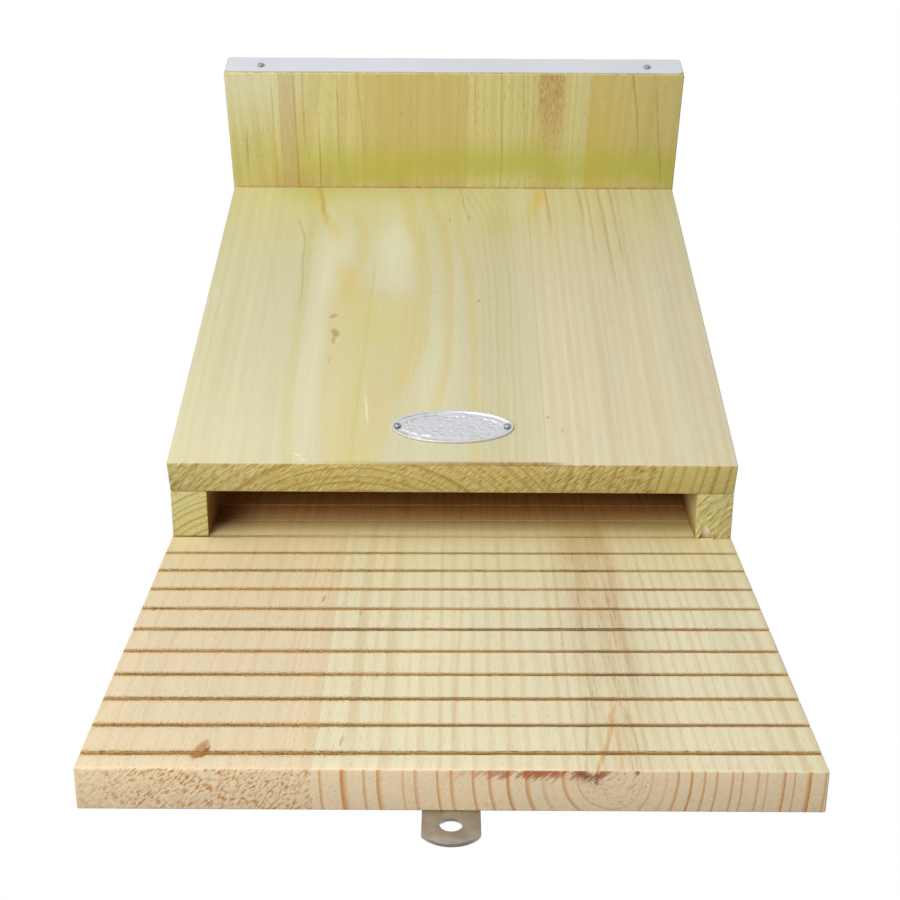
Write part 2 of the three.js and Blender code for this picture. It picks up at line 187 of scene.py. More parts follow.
class PineSettings(bpy.types.PropertyGroup):
    """Colours of the pine"""

    landing_left: tint("Landing, left stave", "Early wood", pale(224, 206, 172))
    landing_main: tint("Landing, main stave", "Early wood", pale(228, 219, 184))
    # Painted shade on the back board under the front board
    slot: tint("Under the front board", "Yellowed wood of the back board", pale(222, 203, 138))
    # Painted shade, brown deeper in the chamber
    chamber_shade: tint("Chamber", "Wood brown with age in the chamber", pale(200, 138, 78))
    front_left: tint("Front, left stave", "Early wood", pale(203, 197, 160))
    front_right: tint("Front, right stave", "Early wood", pale(215, 206, 172))
    side: tint("Side boards", "Early wood", pale(206, 194, 136))
    # Painted shade on the side boards' inner faces
    side_aged: tint("Side boards, inside", "Wood brown with age", pale(142, 96, 42))
    roof: tint("Roof board", "Early wood", pale(212, 202, 136))
    late: tint("Late wood", "Autumn rings on the back board", pale(202, 170, 116))
    gold: tint("Gold", "Golden bands of the front board", pale(206, 188, 122))
    tan: tint("Tan", "Autumn rings of the front board's left stave", pale(198, 180, 126))
    blush: tint("Blush", "Autumn rings of the front board's right stave", pale(206, 185, 142))
    olive: tint("Olive", "Broad ring of the front board", pale(194, 188, 126))
    amber: tint("Amber", "Resin patches", pale(212, 184, 92))
    amber_line: tint("Amber lines", "Resin lines", pale(182, 148, 72))
    bleached: tint("Bleached", "Palest wood", pale(222, 221, 190))
    stain: tint("Stain", "Green tinge under the roof", pale(184, 182, 68))
    tinge: tint("Tinge", "Green tinge of the front board", pale(206, 202, 112))
    moss_line: tint("Moss lines", "Greenish lines", pale(152, 146, 80))
    pin_knot: tint("Pin knot", "Grey brown pin knots", pale(146, 124, 84))
    heart: tint("Heart", "Streaks of heartwood", pale(178, 128, 84))
    flame: tint("Flame", "Orange lines at the landing's foot", pale(206, 152, 88))
    roof_warm: tint("Roof, warm", "Tan wood of the roof board", pale(196, 172, 98))
    roof_heart: tint("Roof, heart", "Red streak of the roof board", pale(170, 112, 62))
    pink: tint("Pink", "Pinkish band of the roof board", pale(190, 160, 118))
    end_pale: tint("End grain", "Early wood on the back board's end", pale(224, 203, 168))
    end_late: tint("End rings", "Late wood on the back board's end", pale(196, 140, 76))
    front_end: tint("Front end", "Early wood on the front board's end", pale(210, 194, 122))
    front_end_late: tint("Front end rings", "Late wood on the front board's end", pale(172, 142, 66))
    side_end: tint("Side end", "Early wood on a side board's end", pale(210, 200, 136))
    side_end_late: tint("Side end rings", "Late wood on a side board's end", pale(160, 146, 76))
    fresh: tint("Fresh wood", "Where the splinter came off", pale(252, 246, 220))
    kerf: tint("Kerf", "Torn wood in a kerf", pale(208, 166, 94))
    pit: tint("Pit", "Torn pits and dark dashes", pale(138, 98, 50))
    smear: tint("Smear", "Red smears on the back board's end", pale(162, 88, 44))
    burr: tint("Burr", "Brown burr of the front board's end", pale(150, 104, 48))
    knot: tint("Knot", "Pin knots", pale(112, 66, 38))


class MetalColours(bpy.types.PropertyGroup):
    """Colours of the metal pieces"""

    zinc: tint("Zinc", "Roof sheet", pale(213, 216, 221))
    plate: tint("Plate", "Oval plate", pale(206, 207, 211))
    nail: tint("Nails", "Nail heads", pale(150, 151, 155))
    hanger: tint("Hangers", "Dull plated steel", pale(168, 159, 147))
    screw: tint("Screws", "Yellow plated steel", pale(196, 178, 122))


class ViewSettings(bpy.types.PropertyGroup):
    """Camera and lights"""

    place: bpy.props.FloatVectorProperty(
        name="Camera place", description="Below the box and in front of it", size=3,
        default=(-0.0012, -0.3261, -0.4768), subtype="XYZ", unit="LENGTH",
    )
    pitch: bpy.props.FloatProperty(
        name="Pitch", description="View axis forward of straight up", default=math.radians(69.29),
        subtype="ANGLE",
    )
    roll: bpy.props.FloatProperty(
        name="Roll", description="Turn about the view axis", default=math.radians(0.308), subtype="ANGLE"
    )
    lens: bpy.props.FloatProperty(name="Lens", description="Focal length in millimetres", default=60.04)
    key: wattage("Key light", "From the front and below", 8.5)
    low: wattage("Low light", "From below and from the left", 11)
    fill: wattage("Fill light", "From the left", 6)
    back: wattage("Back light", "From above and behind", 22)
    sky: bpy.props.FloatProperty(name="Surroundings", description="Soft light from all round", default=0.25)
    floor: bpy.props.FloatProperty(
        name="Floor", description="Height of the floor below the hung box", default=-1.5, unit="LENGTH"
    )
    floor_size: length("Floor size", "Side of the square floor", 8.0)


def boards():
    return bpy.context.scene.bat_box_boards


def metal():
    return bpy.context.scene.bat_box_metal


def pine_colours():
    return bpy.context.scene.bat_box_pine


def metal_colours():
    return bpy.context.scene.bat_box_metal_colours


# Places worked out from the frame and the settings


def board_face():
    """The back board's front face, as a place along Y."""
    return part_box("back_board")[0].y


def slot_corner():
    """The front board's inner lower edge, at the middle of the box."""
    return Vector((0, board_face() - boards().slot, boards().landing))


def leaning():
    """The frame of the front board and the roof: +Z runs up the front board and +Y back through it."""
    return Matrix.Translation(slot_corner()) @ Matrix.Rotation(boards().lean, 4, "X")


# Modelling


@contextmanager
def editing(piece, kind="FACE"):
    """Edit mode on one piece, with nothing selected."""
    bpy.ops.object.select_all(action="DESELECT")
    piece.select_set(True)
    bpy.context.view_layer.objects.active = piece
    bpy.ops.object.mode_set(mode="EDIT")
    bpy.ops.mesh.select_mode(type=kind)
    bpy.ops.mesh.select_all(action="DESELECT")
    yield
    bpy.ops.object.mode_set(mode="OBJECT")


def pick(piece, kind, test):
    """Selects the verts, edges or faces that pass the test, in edit mode, and no others."""
    mesh = bmesh.from_edit_mesh(piece.data)
    for face in mesh.faces:
        face.select_set(False)
    for edge in mesh.edges:
        edge.select_set(False)
    for vert in mesh.verts:
        vert.select_set(False)
    found = [part for part in getattr(mesh, kind) if test(part)]
    if not found:
        raise RuntimeError(f"{piece.name}: no {kind} to work on")
    for part in found:
        part.select_set(True)
    mesh.select_flush_mode()
    bmesh.update_edit_mesh(piece.data)


def middle(part):
    """The middle of an edge or a face."""
    places = [vert.co for vert in part.verts]
    return sum(places, Vector()) / len(places)


def block(name, low, high):
    """A cuboid between two corners, with its place in its mesh."""
    bpy.ops.object.select_all(action="DESELECT")
    low, high = Vector(low), Vector(high)
    bpy.ops.mesh.primitive_cube_add(size=1, location=(low + high) / 2, scale=high - low)
    return named(name)


def named(name):
    """The new active object under its name, with its place in its mesh."""
    piece = bpy.context.object
    piece.name = name
    piece.data.name = name
    bpy.ops.object.transform_apply(location=True, rotation=True, scale=True)
    return piece


def trim(piece, place, normal):
    """Saws off what lies past a plane, and closes the cut."""
    with editing(piece):
        bpy.ops.mesh.select_all(action="SELECT")
        bpy.ops.mesh.bisect(plane_co=place, plane_no=normal, clear_outer=True, use_fill=True)


def score(piece, places, normal):
    """Cuts the faces along parallel planes, and takes nothing away."""
    with editing(piece):
        for place in places:
            bpy.ops.mesh.select_all(action="SELECT")
            bpy.ops.mesh.bisect(plane_co=place, plane_no=normal)


def modify(piece, kind, **settings):
    """Adds a modifier and applies it."""
    bpy.ops.object.select_all(action="DESELECT")
    piece.select_set(True)
    bpy.context.view_layer.objects.active = piece
    modifier = piece.modifiers.new(kind.title(), kind)
    for setting, value in settings.items():
        setattr(modifier, setting, value)
    bpy.ops.object.modifier_apply(modifier=modifier.name)


def round_edges(piece, radius, segments=3, angle=30.0):
    modify(
        piece, "BEVEL", width=radius, segments=segments, limit_method="ANGLE",
        angle_limit=math.radians(angle), use_clamp_overlap=True,
    )


def group(piece, name, test):
    """A vertex group of the verts that pass the test."""
    with editing(piece, "VERT"):
        pick(piece, "verts", test)
        bpy.ops.object.vertex_group_assign_new()
    piece.vertex_groups[-1].name = name


def roughen(piece, parts, reach, size, direction, depth=2):
    """Moves a vertex group to and fro by cloud noise, reach from end to end."""
    clouds = bpy.data.textures.new(f"{piece.name}_{parts}", "CLOUDS")
    clouds.noise_scale = size
    clouds.noise_depth = depth
    modify(
        piece, "DISPLACE", texture=clouds, strength=reach, mid_level=0.5, direction=direction,
        texture_coords="LOCAL", vertex_group=parts,
    )


def place(piece, matrix):
    """Moves a finished piece to its place, which goes into its mesh."""
    bpy.ops.object.select_all(action="DESELECT")
    piece.select_set(True)
    bpy.context.view_layer.objects.active = piece
    piece.matrix_world = matrix
    bpy.ops.object.transform_apply(location=True, rotation=True, scale=True)


def cut_out(piece, cutter):
    """Takes a cutter's shape out of a piece, and the cutter goes."""
    modify(piece, "BOOLEAN", object=cutter, operation="DIFFERENCE", solver="EXACT")
    bpy.data.objects.remove(cutter)


def face_out(piece):
    """Turns every face outwards."""
    with editing(piece):
        bpy.ops.mesh.select_all(action="SELECT")
        bpy.ops.mesh.normals_make_consistent(inside=False)


def soften(piece, angle=STEEL_SHARP):
    """Smooth shading, apart from the edges sharper than an angle."""
    bpy.ops.object.select_all(action="DESELECT")
    piece.select_set(True)
    bpy.context.view_layer.objects.active = piece
    bpy.ops.object.shade_smooth_by_angle(angle=math.radians(angle))


def hand_over(piece, material, slot, *nodes):
    """Finishes a piece: its material, the body it rides on, and the nodes that it stands for. The slot is not
    used.
    """
    piece.data.materials.clear()
    piece.data.materials.append(material)
    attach(piece, BODY)
    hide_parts(*nodes)


def rounded_copy(node, name, radius):
    """A copy of a node's mesh with its doubles merged, its flats joined and its edges rounded."""
    piece = bpy.data.objects.new(name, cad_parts[node].data.copy())
    piece.data.name = name
    bpy.context.scene.collection.objects.link(piece)
    with editing(piece, "VERT"):
        bpy.ops.mesh.select_all(action="SELECT")
        bpy.ops.mesh.remove_doubles(threshold=CLOSE)
        bpy.ops.mesh.select_all(action="SELECT")
        bpy.ops.mesh.dissolve_limited(angle_limit=math.radians(1.0))
    round_edges(piece, radius, segments=2, angle=40.0)
    soften(piece)
    return piece


# Materials


class Signal:
    """A socket of a material that takes part in arithmetic. Each operation on it adds a Math node."""

    def __init__(self, paint, socket):
        self.paint = paint
        self.socket = socket

    def maths(self, operation, *others):
        return self.paint.node("ShaderNodeMath", {"operation": operation}, dict(enumerate((self, *others))))

    def __add__(self, other):
        return self.maths("ADD", other)

    __radd__ = __add__

    def __sub__(self, other):
        return self.maths("SUBTRACT", other)

    def __rsub__(self, other):
        return self.maths("MULTIPLY_ADD", -1.0, other)

    def __mul__(self, other):
        return self.maths("MULTIPLY", other)

    __rmul__ = __mul__

    def __truediv__(self, other):
        return self.maths("DIVIDE", other)

    def __abs__(self):
        return self.maths("ABSOLUTE")

    def over(self, low, high):
        """A soft step from 0 at low to 1 at high; with high below low it falls instead."""
        inputs = {"Value": self, "From Min": low, "From Max": high}
        return self.paint.node("ShaderNodeMapRange", {"interpolation_type": "SMOOTHSTEP"}, inputs)


class Paint:
    """A material in the making, with a Principled surface."""

    def __init__(self, name, roughness=0.6, metallic=0.0, specular=0.5):
        self.material = bpy.data.materials.new(name)
        self.material.use_nodes = True
        self.tree = self.material.node_tree
        self.surface = self.tree.nodes["Principled BSDF"]
        self.surface.inputs["Roughness"].default_value = roughness
        self.surface.inputs["Metallic"].default_value = metallic
        self.surface.inputs["Specular IOR Level"].default_value = specular

    def connect(self, socket, value):
        if isinstance(value, Signal):
            self.tree.links.new(value.socket, socket)
        elif socket.type == "RGBA" and len(value) == 3:
            socket.default_value = (*value, 1.0)
        else:
            socket.default_value = value

    def node(self, kind, settings, inputs, output=0):
        """Adds a node: its settings first, then the values or links of its sockets."""
        made = self.tree.nodes.new(kind)
        for setting, value in settings.items():
            setattr(made, setting, value)
        for key, value in inputs.items():
            self.connect(made.inputs[key], value)
        return Signal(self, made.outputs[output])

    def noise(self, across, depth, along, detail=2.0, roughness=0.5):
        """Cloud noise about 0.5, one grain to each unit of the three coordinates."""
        vector = self.node("ShaderNodeCombineXYZ", {}, {0: across, 1: depth, 2: along})
        inputs = {"Vector": vector, "Scale": 1.0, "Detail": detail, "Roughness": roughness}
        return self.node("ShaderNodeTexNoise", {}, inputs)

    def mix(self, share, first, second):
        settings = {"data_type": "RGBA", "blend_type": "MIX"}
        return self.node("ShaderNodeMix", settings, {0: share, 6: first, 7: second}, output=2)

    def scaled(self, colour, share):
        return self.node("ShaderNodeVectorMath", {"operation": "SCALE"}, {0: colour, "Scale": share})

    def bump(self, height, distance, strength):
        inputs = {"Height": height, "Distance": distance, "Strength": strength}
        return self.node("ShaderNodeBump", {}, inputs)

    def finish(self, colour, roughness, normal):
        for socket, value in (("Base Color", colour), ("Roughness", roughness), ("Normal", normal)):
            self.connect(self.surface.inputs[socket], value)
        return self.material


class Grain:
    """A board's own axes in millimetres: across its width, in depth below its face, and along its grain."""

    def __init__(self, paint, origin, across, depth, along):
        self.paint = paint
        turn = Matrix((across, depth, along))
        shift = -(turn @ Vector(origin)) / MM
        coordinates = paint.node("ShaderNodeTexCoord", {}, {}, "Object")
        inputs = {"Vector": coordinates, "Location": shift, "Rotation": turn.to_euler()}
        inputs["Scale"] = [1 / MM] * 3
        local = paint.node("ShaderNodeMapping", {"vector_type": "POINT"}, inputs)
        self.across, self.depth, self.along = (
            paint.node("ShaderNodeSeparateXYZ", {}, {0: local}, axis) for axis in range(3)
        )
        facing = paint.node("ShaderNodeTexCoord", {}, {}, "Normal")
        inputs = {0: facing, 1: along}
        square = paint.node("ShaderNodeVectorMath", {"operation": "DOT_PRODUCT"}, inputs, "Value")
        self.end = abs(square).over(0.55, 0.85)

    def bulge(self, across, along, width, length):
        """A soft round mound of height 1 on the board's face."""
        u = (self.across - across) / width
        w = (self.along - along) / length
        return ((u * u + w * w) * -1.0).maths("EXPONENT")

    def streaks(self, width, length, shift=0.0, detail=2.0):
        """Noise drawn out along the grain; a grain of it is about that wide and long."""
        return self.paint.noise(
            self.across / width + shift, self.depth / width, self.along / length, detail=detail
        )


# A stave's pith, ring width, slope and colour, and a board's rings, sawn ends and dark dashes
Stave = namedtuple("Stave", "pith_across pith_depth ring slope face shift off_centre", defaults=[0.0])
Look = namedtuple(
    "Look", "late late_share start drop end_pale end_late end_share end_start hatch crumb grit dash dashes"
)
Patch = namedtuple("Patch", "across along width length colour strength")
Streak = namedtuple("Streak", "points half left right colour strength")
Mark = namedtuple("Mark", "across along width length colour strength tilt", defaults=[0.0])


def by_stave(grain, joints, values):
    """A number that steps from stave to stave."""
    total = values[0]
    for joint, before, after in zip(joints, values, values[1:]):
        total = grain.across.maths("GREATER_THAN", joint) * (after - before) + total
    return total


def by_colour(grain, joints, *tints):
    """A colour that steps from stave to stave."""
    colour = tints[0]
    for joint, after in zip(joints, tints[1:]):
        colour = grain.paint.mix(grain.across.maths("GREATER_THAN", joint), colour, after)
    return colour


def rings(grain, joints, staves, wander):
    """Distance from the pith, in growth rings: closer near the pith, and on the side that grew less."""
    paint = grain.paint
    shift = by_stave(grain, joints, [stave.shift for stave in staves])
    slow = (grain.across * 0.006 + shift, grain.depth * 0.006, grain.along * 0.0045)
    sway = (paint.noise(*slow, detail=1.0) - 0.5) * (2 * wander)
    ripple = (grain.streaks(26.0, 60.0, shift) - 0.5) * (0.35 * wander)
    u = grain.across - by_stave(grain, joints, [stave.pith_across for stave in staves]) + sway * 0.6
    u = u.maths("MAXIMUM", 0.0) * by_stave(grain, joints, [stave.off_centre for stave in staves]) + u
    v = by_stave(grain, joints, [stave.pith_depth for stave in staves]) - grain.depth + sway
    v = v + grain.along * by_stave(grain, joints, [stave.slope for stave in staves])
    radius = (u * u + v * v).maths("SQRT") + ripple
    radius = (paint.noise(radius * 0.07, shift, 0.0, detail=1.0) - 0.5) * 13.0 + radius
    young = 1.0 - (radius * -0.11).maths("EXPONENT")
    return (radius + young * 7.0) / by_stave(grain, joints, [stave.ring for stave in staves])


def course(grain, points):
    """Where a streak runs across the board, through points that are each (along, across)."""
    (last, centre), *rest = points
    beside = centre
    for along, across in rest:
        centre = grain.along.over(last, along) * (across - beside) + centre
        last, beside = along, across
    return centre


def draw_streaks(grain, streaks, base):
    """Bands that follow the grain, each side soft or sharp. Their points run down the board."""
    ragged = grain.streaks(1.1, 22.0, 41.0).over(0.25, 0.60) * 0.55 + 0.45
    wavy = grain.across + (grain.streaks(9.0, 60.0, 37.0) - 0.5) * 2.6
    for streak in streaks:
        top, foot = streak.points[0][0], streak.points[-1][0]
        off = wavy - course(grain, streak.points)
        left, right = streak.half + streak.left, streak.half + streak.right
        share = off.over(-left, -streak.half) * off.over(right, streak.half)
        share = share * grain.along.over(top + 2, top - 16) * grain.along.over(foot - 16, foot + 16)
        base = grain.paint.mix(share * ragged * streak.strength, base, streak.colour)
    return base


def draw_patches(grain, patches, base):
    """Soft patches of another colour, uneven as stain in wood is."""
    uneven = grain.streaks(5.0, 50.0, 31.0) + 0.5
    for patch in patches:
        share = grain.bulge(patch.across, patch.along, patch.width, patch.length) * uneven
        base = grain.paint.mix(share * patch.strength, base, patch.colour)
    return base


def draw_marks(grain, marks, base):
    """Small pin knots and flecks with ragged outlines."""
    ragged = (grain.streaks(0.8, 2.2, 7.0, detail=3.0) - 0.5) * 1.3
    for mark in marks:
        w = grain.along - mark.along
        u = (grain.across - mark.across - w * mark.tilt) / mark.width
        w = w / mark.length
        near = ((u * u + w * w) * -1.0).maths("EXPONENT")
        base = grain.paint.mix((near + ragged * near).over(0.30, 0.75) * mark.strength, base, mark.colour)
    return base


def pine(grain, joints, staves, look, wander):
    """The wood of a board: its rings, fibre and joints on the faces, and its sawn rings on the ends."""
    paint = grain.paint
    phase = rings(grain, joints, staves, wander)
    share, number = phase.maths("FRACT"), phase.maths("FLOOR")
    each = paint.node("ShaderNodeTexWhiteNoise", {"noise_dimensions": "1D"}, {"W": number}) * 0.6 + 0.4
    late = share.over(look.start, look.start + 0.4 * (1 - look.start)) * share.over(1.0, look.drop) * each
    fibre = grain.streaks(0.5, 30.0, detail=3.0)
    broad = grain.streaks(11.0, 260.0, 3.0)
    face = by_colour(grain, joints, *(stave.face for stave in staves))
    patchy = grain.streaks(14.0, 70.0, 13.0).over(0.25, 0.60) * 0.6 + 0.4
    face = paint.mix(late * patchy * look.late_share, face, look.late)
    dashes = grain.streaks(0.55, 6.0, 11.0).over(0.57, 0.69)
    face = paint.mix(dashes * look.dashes, face, look.dash)
    pores = paint.noise(grain.across * 1.9, grain.depth * 1.9, grain.along * 0.3, detail=3.0, roughness=0.6)
    face = paint.scaled(face, (fibre - 0.5) * 0.20 + (broad - 0.5) * 0.16 + (pores - 0.5) * 0.14 + 1.0)
    for joint in joints:
        face = paint.scaled(face, 1.0 - abs(grain.across - joint).over(0.4, 0.1) * 0.07)
    # Ends: thin rings, some of them double, under the slanted crumbs that the saw leaves
    rise, fall = grain.across + grain.depth, grain.across - grain.depth
    fine, drawn, detail = look.crumb
    crumbs = paint.noise(rise * fine, fall * drawn, grain.along * 0.1, detail=detail, roughness=0.6)
    cut = share + (pores - 0.5) * 0.16
    ring = cut.over(look.end_start, 0.90) * cut.over(1.0, 0.95)
    end = paint.mix(ring * each * look.end_share, look.end_pale, look.end_late)
    end = paint.mix(crumbs.over(0.46, 0.36) * look.hatch * 0.5, end, pine_colours().bleached)
    end = paint.mix(crumbs.over(0.48, 0.58) * look.hatch * 0.9, end, look.grit)
    end = paint.mix(crumbs.over(0.57, 0.68) * look.hatch * 0.6, end, pine_colours().pit)
    end = paint.scaled(end, (pores - 0.5) * 0.34 + 1.0)
    height = fibre * 0.5 + late * 0.3
    height = (crumbs * -2.4 * look.hatch + pores * 0.8 - height) * grain.end + height
    return face, end, late, height


def finish_pine(grain, face, end, late, height):
    """Matt wood, a little smoother where the late wood is."""
    roughness = 0.66 - late * 0.10 + grain.end * 0.14
    colour = grain.paint.mix(grain.end, face, end)
    return grain.paint.finish(colour, roughness, grain.paint.bump(height, boards().grain_relief, 0.55))


def draw_kerfs(grain, face, height, brown):
    """Torn golden wood in the kerfs, ragged on the left stave, with painted shade deeper in them, and browner
    where brown is 1.
    """
    paint, settings, colours = grain.paint, boards(), pine_colours()
    pitch, first = settings.kerf_pitch / MM, settings.first_kerf / MM
    level = grain.along - grain.across * math.tan(settings.kerf_skew)
    turn = ((level - first) / pitch + 0.5).maths("FRACT")
    off = abs(turn - 0.5) * pitch
    torn = paint.noise(grain.across * 1.1, grain.depth * 0.6, grain.along * 1.1, detail=4.0, roughness=0.65)
    left = grain.across.over(10.0, -60.0)
    reach = settings.kerf_width / MM / 2
    fringe = (off + (torn - 0.5) * (left * 5.0 + 5.0)).over(reach + 1.0, reach + 0.2) * (left * 0.4 + 0.5)
    wall = grain.depth.over(0.1, 0.5) * off.over(reach + 1.0, reach + 0.6)
    depth = settings.kerf_depth / MM
    kerf = fringe.maths("MAXIMUM", wall) * grain.depth.over(depth + 0.6, depth + 0.2) * level.over(-2.0, 2.0)
    kerf = kerf * (1.0 - level.over(180.0, 205.0) * 0.55)
    pits = paint.noise(grain.across * 1.2, grain.depth * 1.2, grain.along * 1.2, detail=2.0)
    face = paint.mix(kerf * 0.9, face, paint.scaled(colours.kerf, (torn - 0.5) * 0.8 + 1.0))
    # Painted shade: darker deeper in a kerf; the pits are torn wood
    dark = grain.depth.over(0.3, 1.1) * (0.28 - left * 0.10) + pits.over(0.54, 0.64) * (left * 0.55 + 0.2)
    face = paint.mix(kerf * (dark + brown * 0.4).maths("MINIMUM", 0.9), face, colours.pit)
    return face, torn * 1.8 * kerf + height


def darken_chamber(grain, face):
    """Painted shade inside the chamber only, browner deeper in, and a painted shadow that makes its left
    corner darkest.
    """
    paint, colours = grain.paint, pine_colours()
    wall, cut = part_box("side_board_right")[0].x / MM, boards().kerf_depth / MM
    inside = grain.depth.over(cut + 1.0, cut + 0.2) * abs(grain.across).over(wall + 0.5, wall)
    chamber_shade = paint.scaled(colours.chamber_shade, (grain.streaks(1.8, 70.0, 23.0, detail=3.0) - 0.5) * 0.9 + 1.0)
    face = paint.mix(grain.along.over(204.0, 222.0) * inside * 0.35, face, colours.amber)
    # Painted shade: browner further up inside the chamber
    face = paint.mix(grain.along.over(214.0, 250.0) * inside * 0.90, face, chamber_shade)
    # Painted shadow of the left side board in the chamber's left corner
    face = paint.mix(grain.bulge(-118.0, 236.0, 16.0, 18.0) * inside * 0.85, face, colours.knot)
    return paint.mix(grain.bulge(110.0, 226.0, 12.0, 14.0) * inside * 0.5, face, colours.gold)


def smear_landing_end(grain, end, pith):
    """Red smears along the sawn end's front edge, up to the heart, which is specked with brown."""
    paint, colours = grain.paint, pine_colours()
    rise, fall = grain.across + grain.depth, grain.across - grain.depth
    slant = paint.noise(rise * 0.30, fall * 0.05, 0.0, detail=5.0, roughness=0.7)
    smear = (grain.depth - (slant - 0.32) * 16.0).over(1.2, -1.8) * grain.across.over(-12.0, 30.0)
    smear = smear * slant.over(0.36, 0.56) * grain.across.over(66.0, 54.0)
    end = paint.mix(smear * 0.9, end, colours.smear)
    specks = paint.noise(grain.across * 1.3, grain.depth * 1.3, pith * 0.2, detail=3.0).over(0.60, 0.68)
    end = paint.mix(specks * pith.over(20.0, 8.0) * 0.7, end, colours.smear)
    crack = abs(pith - slant * 5.0 - 5.0).over(1.0, 0.3) * slant.over(0.46, 0.54) * grain.depth.over(9.0, 4.0)
    end = paint.mix(crack * 0.9, end, colours.smear)
    u, v = (grain.across - 51.0) / 4.5, (grain.depth - 2.5) / 2.4
    clot = ((u * u + v * v) * -1.0).maths("EXPONENT") * slant.over(0.38, 0.52)
    return paint.mix(clot, end, colours.knot)


def landing_pine():
    """Back board: a pinkish stave and a wide one, its heart just under the face, with torn golden kerfs."""
    colours = pine_colours()
    paint = Paint("pine_back", specular=0.3)
    grain = Grain(paint, (0, board_face(), 0), (1, 0, 0), (0, 1, 0), (0, 0, 1))
    # The kerfs' walls are torn, so only the board's foot is an end
    grain.end = grain.end * grain.along.over(4.0, 1.0)
    joints = [-52.0]
    staves = [
        Stave(-210.0, -52.0, 5.6, 0.01, colours.landing_left, 0.0),
        Stave(61.0, 2.2, 6.8, -0.03, colours.landing_main, 40.0, 0.42),
    ]
    u, v = grain.across - 61.0, grain.depth - 2.2
    pith = (u * u + v * v).maths("SQRT")
    worn = paint.noise(grain.across * 0.12, grain.depth * 0.2, 5.0, detail=1.0).over(0.30, 0.55) * 0.65 + 0.35
    end_rings = by_stave(grain, joints, [0.2, 1.0]) * (pith.over(8.0, 26.0) * 0.7 + 0.3)
    hatch = by_stave(grain, joints, [1.0, 0.16]) * grain.across.over(-155.0, -112.0) * worn
    look = Look(
        late=colours.late, late_share=by_stave(grain, joints, [0.26, 0.40]), start=0.45, drop=0.82,
        end_pale=colours.end_pale, end_late=colours.end_late, end_share=end_rings, end_start=0.68,
        hatch=hatch, crumb=(0.75, 0.28, 5.0), grit=colours.end_late, dash=colours.heart, dashes=0.25,
    )
    face, end, late, height = pine(grain, joints, staves, look, wander=2.4)
    # The heart: a reddish band with brown flecks, stronger up the board, and a flame at its foot
    heart = (grain.across + (grain.streaks(9.0, 80.0, 2.0) - 0.5) * 7.0).over(44.0, 60.0)
    heart = heart * grain.across.over(84.0, 71.0) * (grain.along.over(0.0, 200.0) * 0.6 + 0.4)
    patchy = grain.streaks(5.0, 60.0, 5.0).over(0.25, 0.7)
    flecks = grain.streaks(0.5, 15.0, 19.0, detail=3.0).over(0.54, 0.62)
    face = paint.mix(heart * (patchy * 0.32 + 0.16), face, colours.heart)
    face = paint.mix(heart * flecks * patchy * 0.65, face, colours.pit)
    flame, red, knot = colours.flame, colours.heart, colours.knot
    face = draw_streaks(grain, [
        Streak([(51.0, 66.0), (38.0, 62.5), (-20.0, 51.0)], 0.3, 1.4, 0.9, flame, 0.75),
        Streak([(51.0, 66.0), (42.0, 69.0), (20.0, 70.5)], 0.2, 0.8, 1.0, flame, 0.60),
        Streak([(60.0, 64.0), (-10.0, 63.0)], 0.2, 2.0, 2.0, flame, 0.25),
        Streak([(60.0, 54.0), (-20.0, 49.0)], 0.2, 0.5, 0.8, red, 0.40),
        Streak([(260.0, 75.5), (60.0, 76.0)], 0.4, 2.5, 1.2, red, 0.20),
        Streak([(240.0, 71.0), (200.0, 70.0)], 2.5, 4.0, 4.0, red, 0.45),
        Streak([(200.0, -56.0), (100.0, -57.0)], 0.2, 0.8, 0.6, red, 0.22),
        Streak([(210.0, -64.0), (60.0, -66.0)], 0.2, 0.8, 0.6, red, 0.18),
        Streak([(210.0, -96.0), (60.0, -100.0)], 0.2, 0.8, 0.6, red, 0.18),
        Streak([(150.0, 5.0), (20.0, 1.0)], 0.3, 0.9, 0.7, flame, 0.30),
    ], face)
    # Painted shade: yellower and darker under the front board
    face = paint.mix(grain.along.over(120.0, 225.0) * 0.45, face, colours.slot)
    face = draw_marks(grain, [
        Mark(-95.0, 13.0, 2.8, 8.0, red, 0.85, 0.25), Mark(-92.6, 11.5, 1.2, 5.0, knot, 0.9, 0.2),
        Mark(-95.5, 8.8, 2.8, 1.8, colours.smear, 0.9), Mark(-58.5, 141.0, 0.8, 4.0, knot, 0.45, 0.1),
        Mark(-41.0, 127.0, 0.6, 3.5, knot, 0.35), Mark(-42.0, 20.0, 0.7, 5.0, knot, 0.35, 0.1),
        Mark(5.0, 236.0, 0.8, 2.2, knot, 0.7), Mark(-11.0, 237.0, 0.7, 1.8, knot, 0.5),
    ], face)
    face, height = draw_kerfs(grain, face, height, heart)
    face = darken_chamber(grain, face)
    end = smear_landing_end(grain, end, pith)
    return finish_pine(grain, face, end, late, height)


def leaning_axes():
    """The leaning frame's axes: across, back through the front board, and up it."""
    turn = leaning().to_3x3()
    return [turn.col[axis].copy() for axis in range(3)]


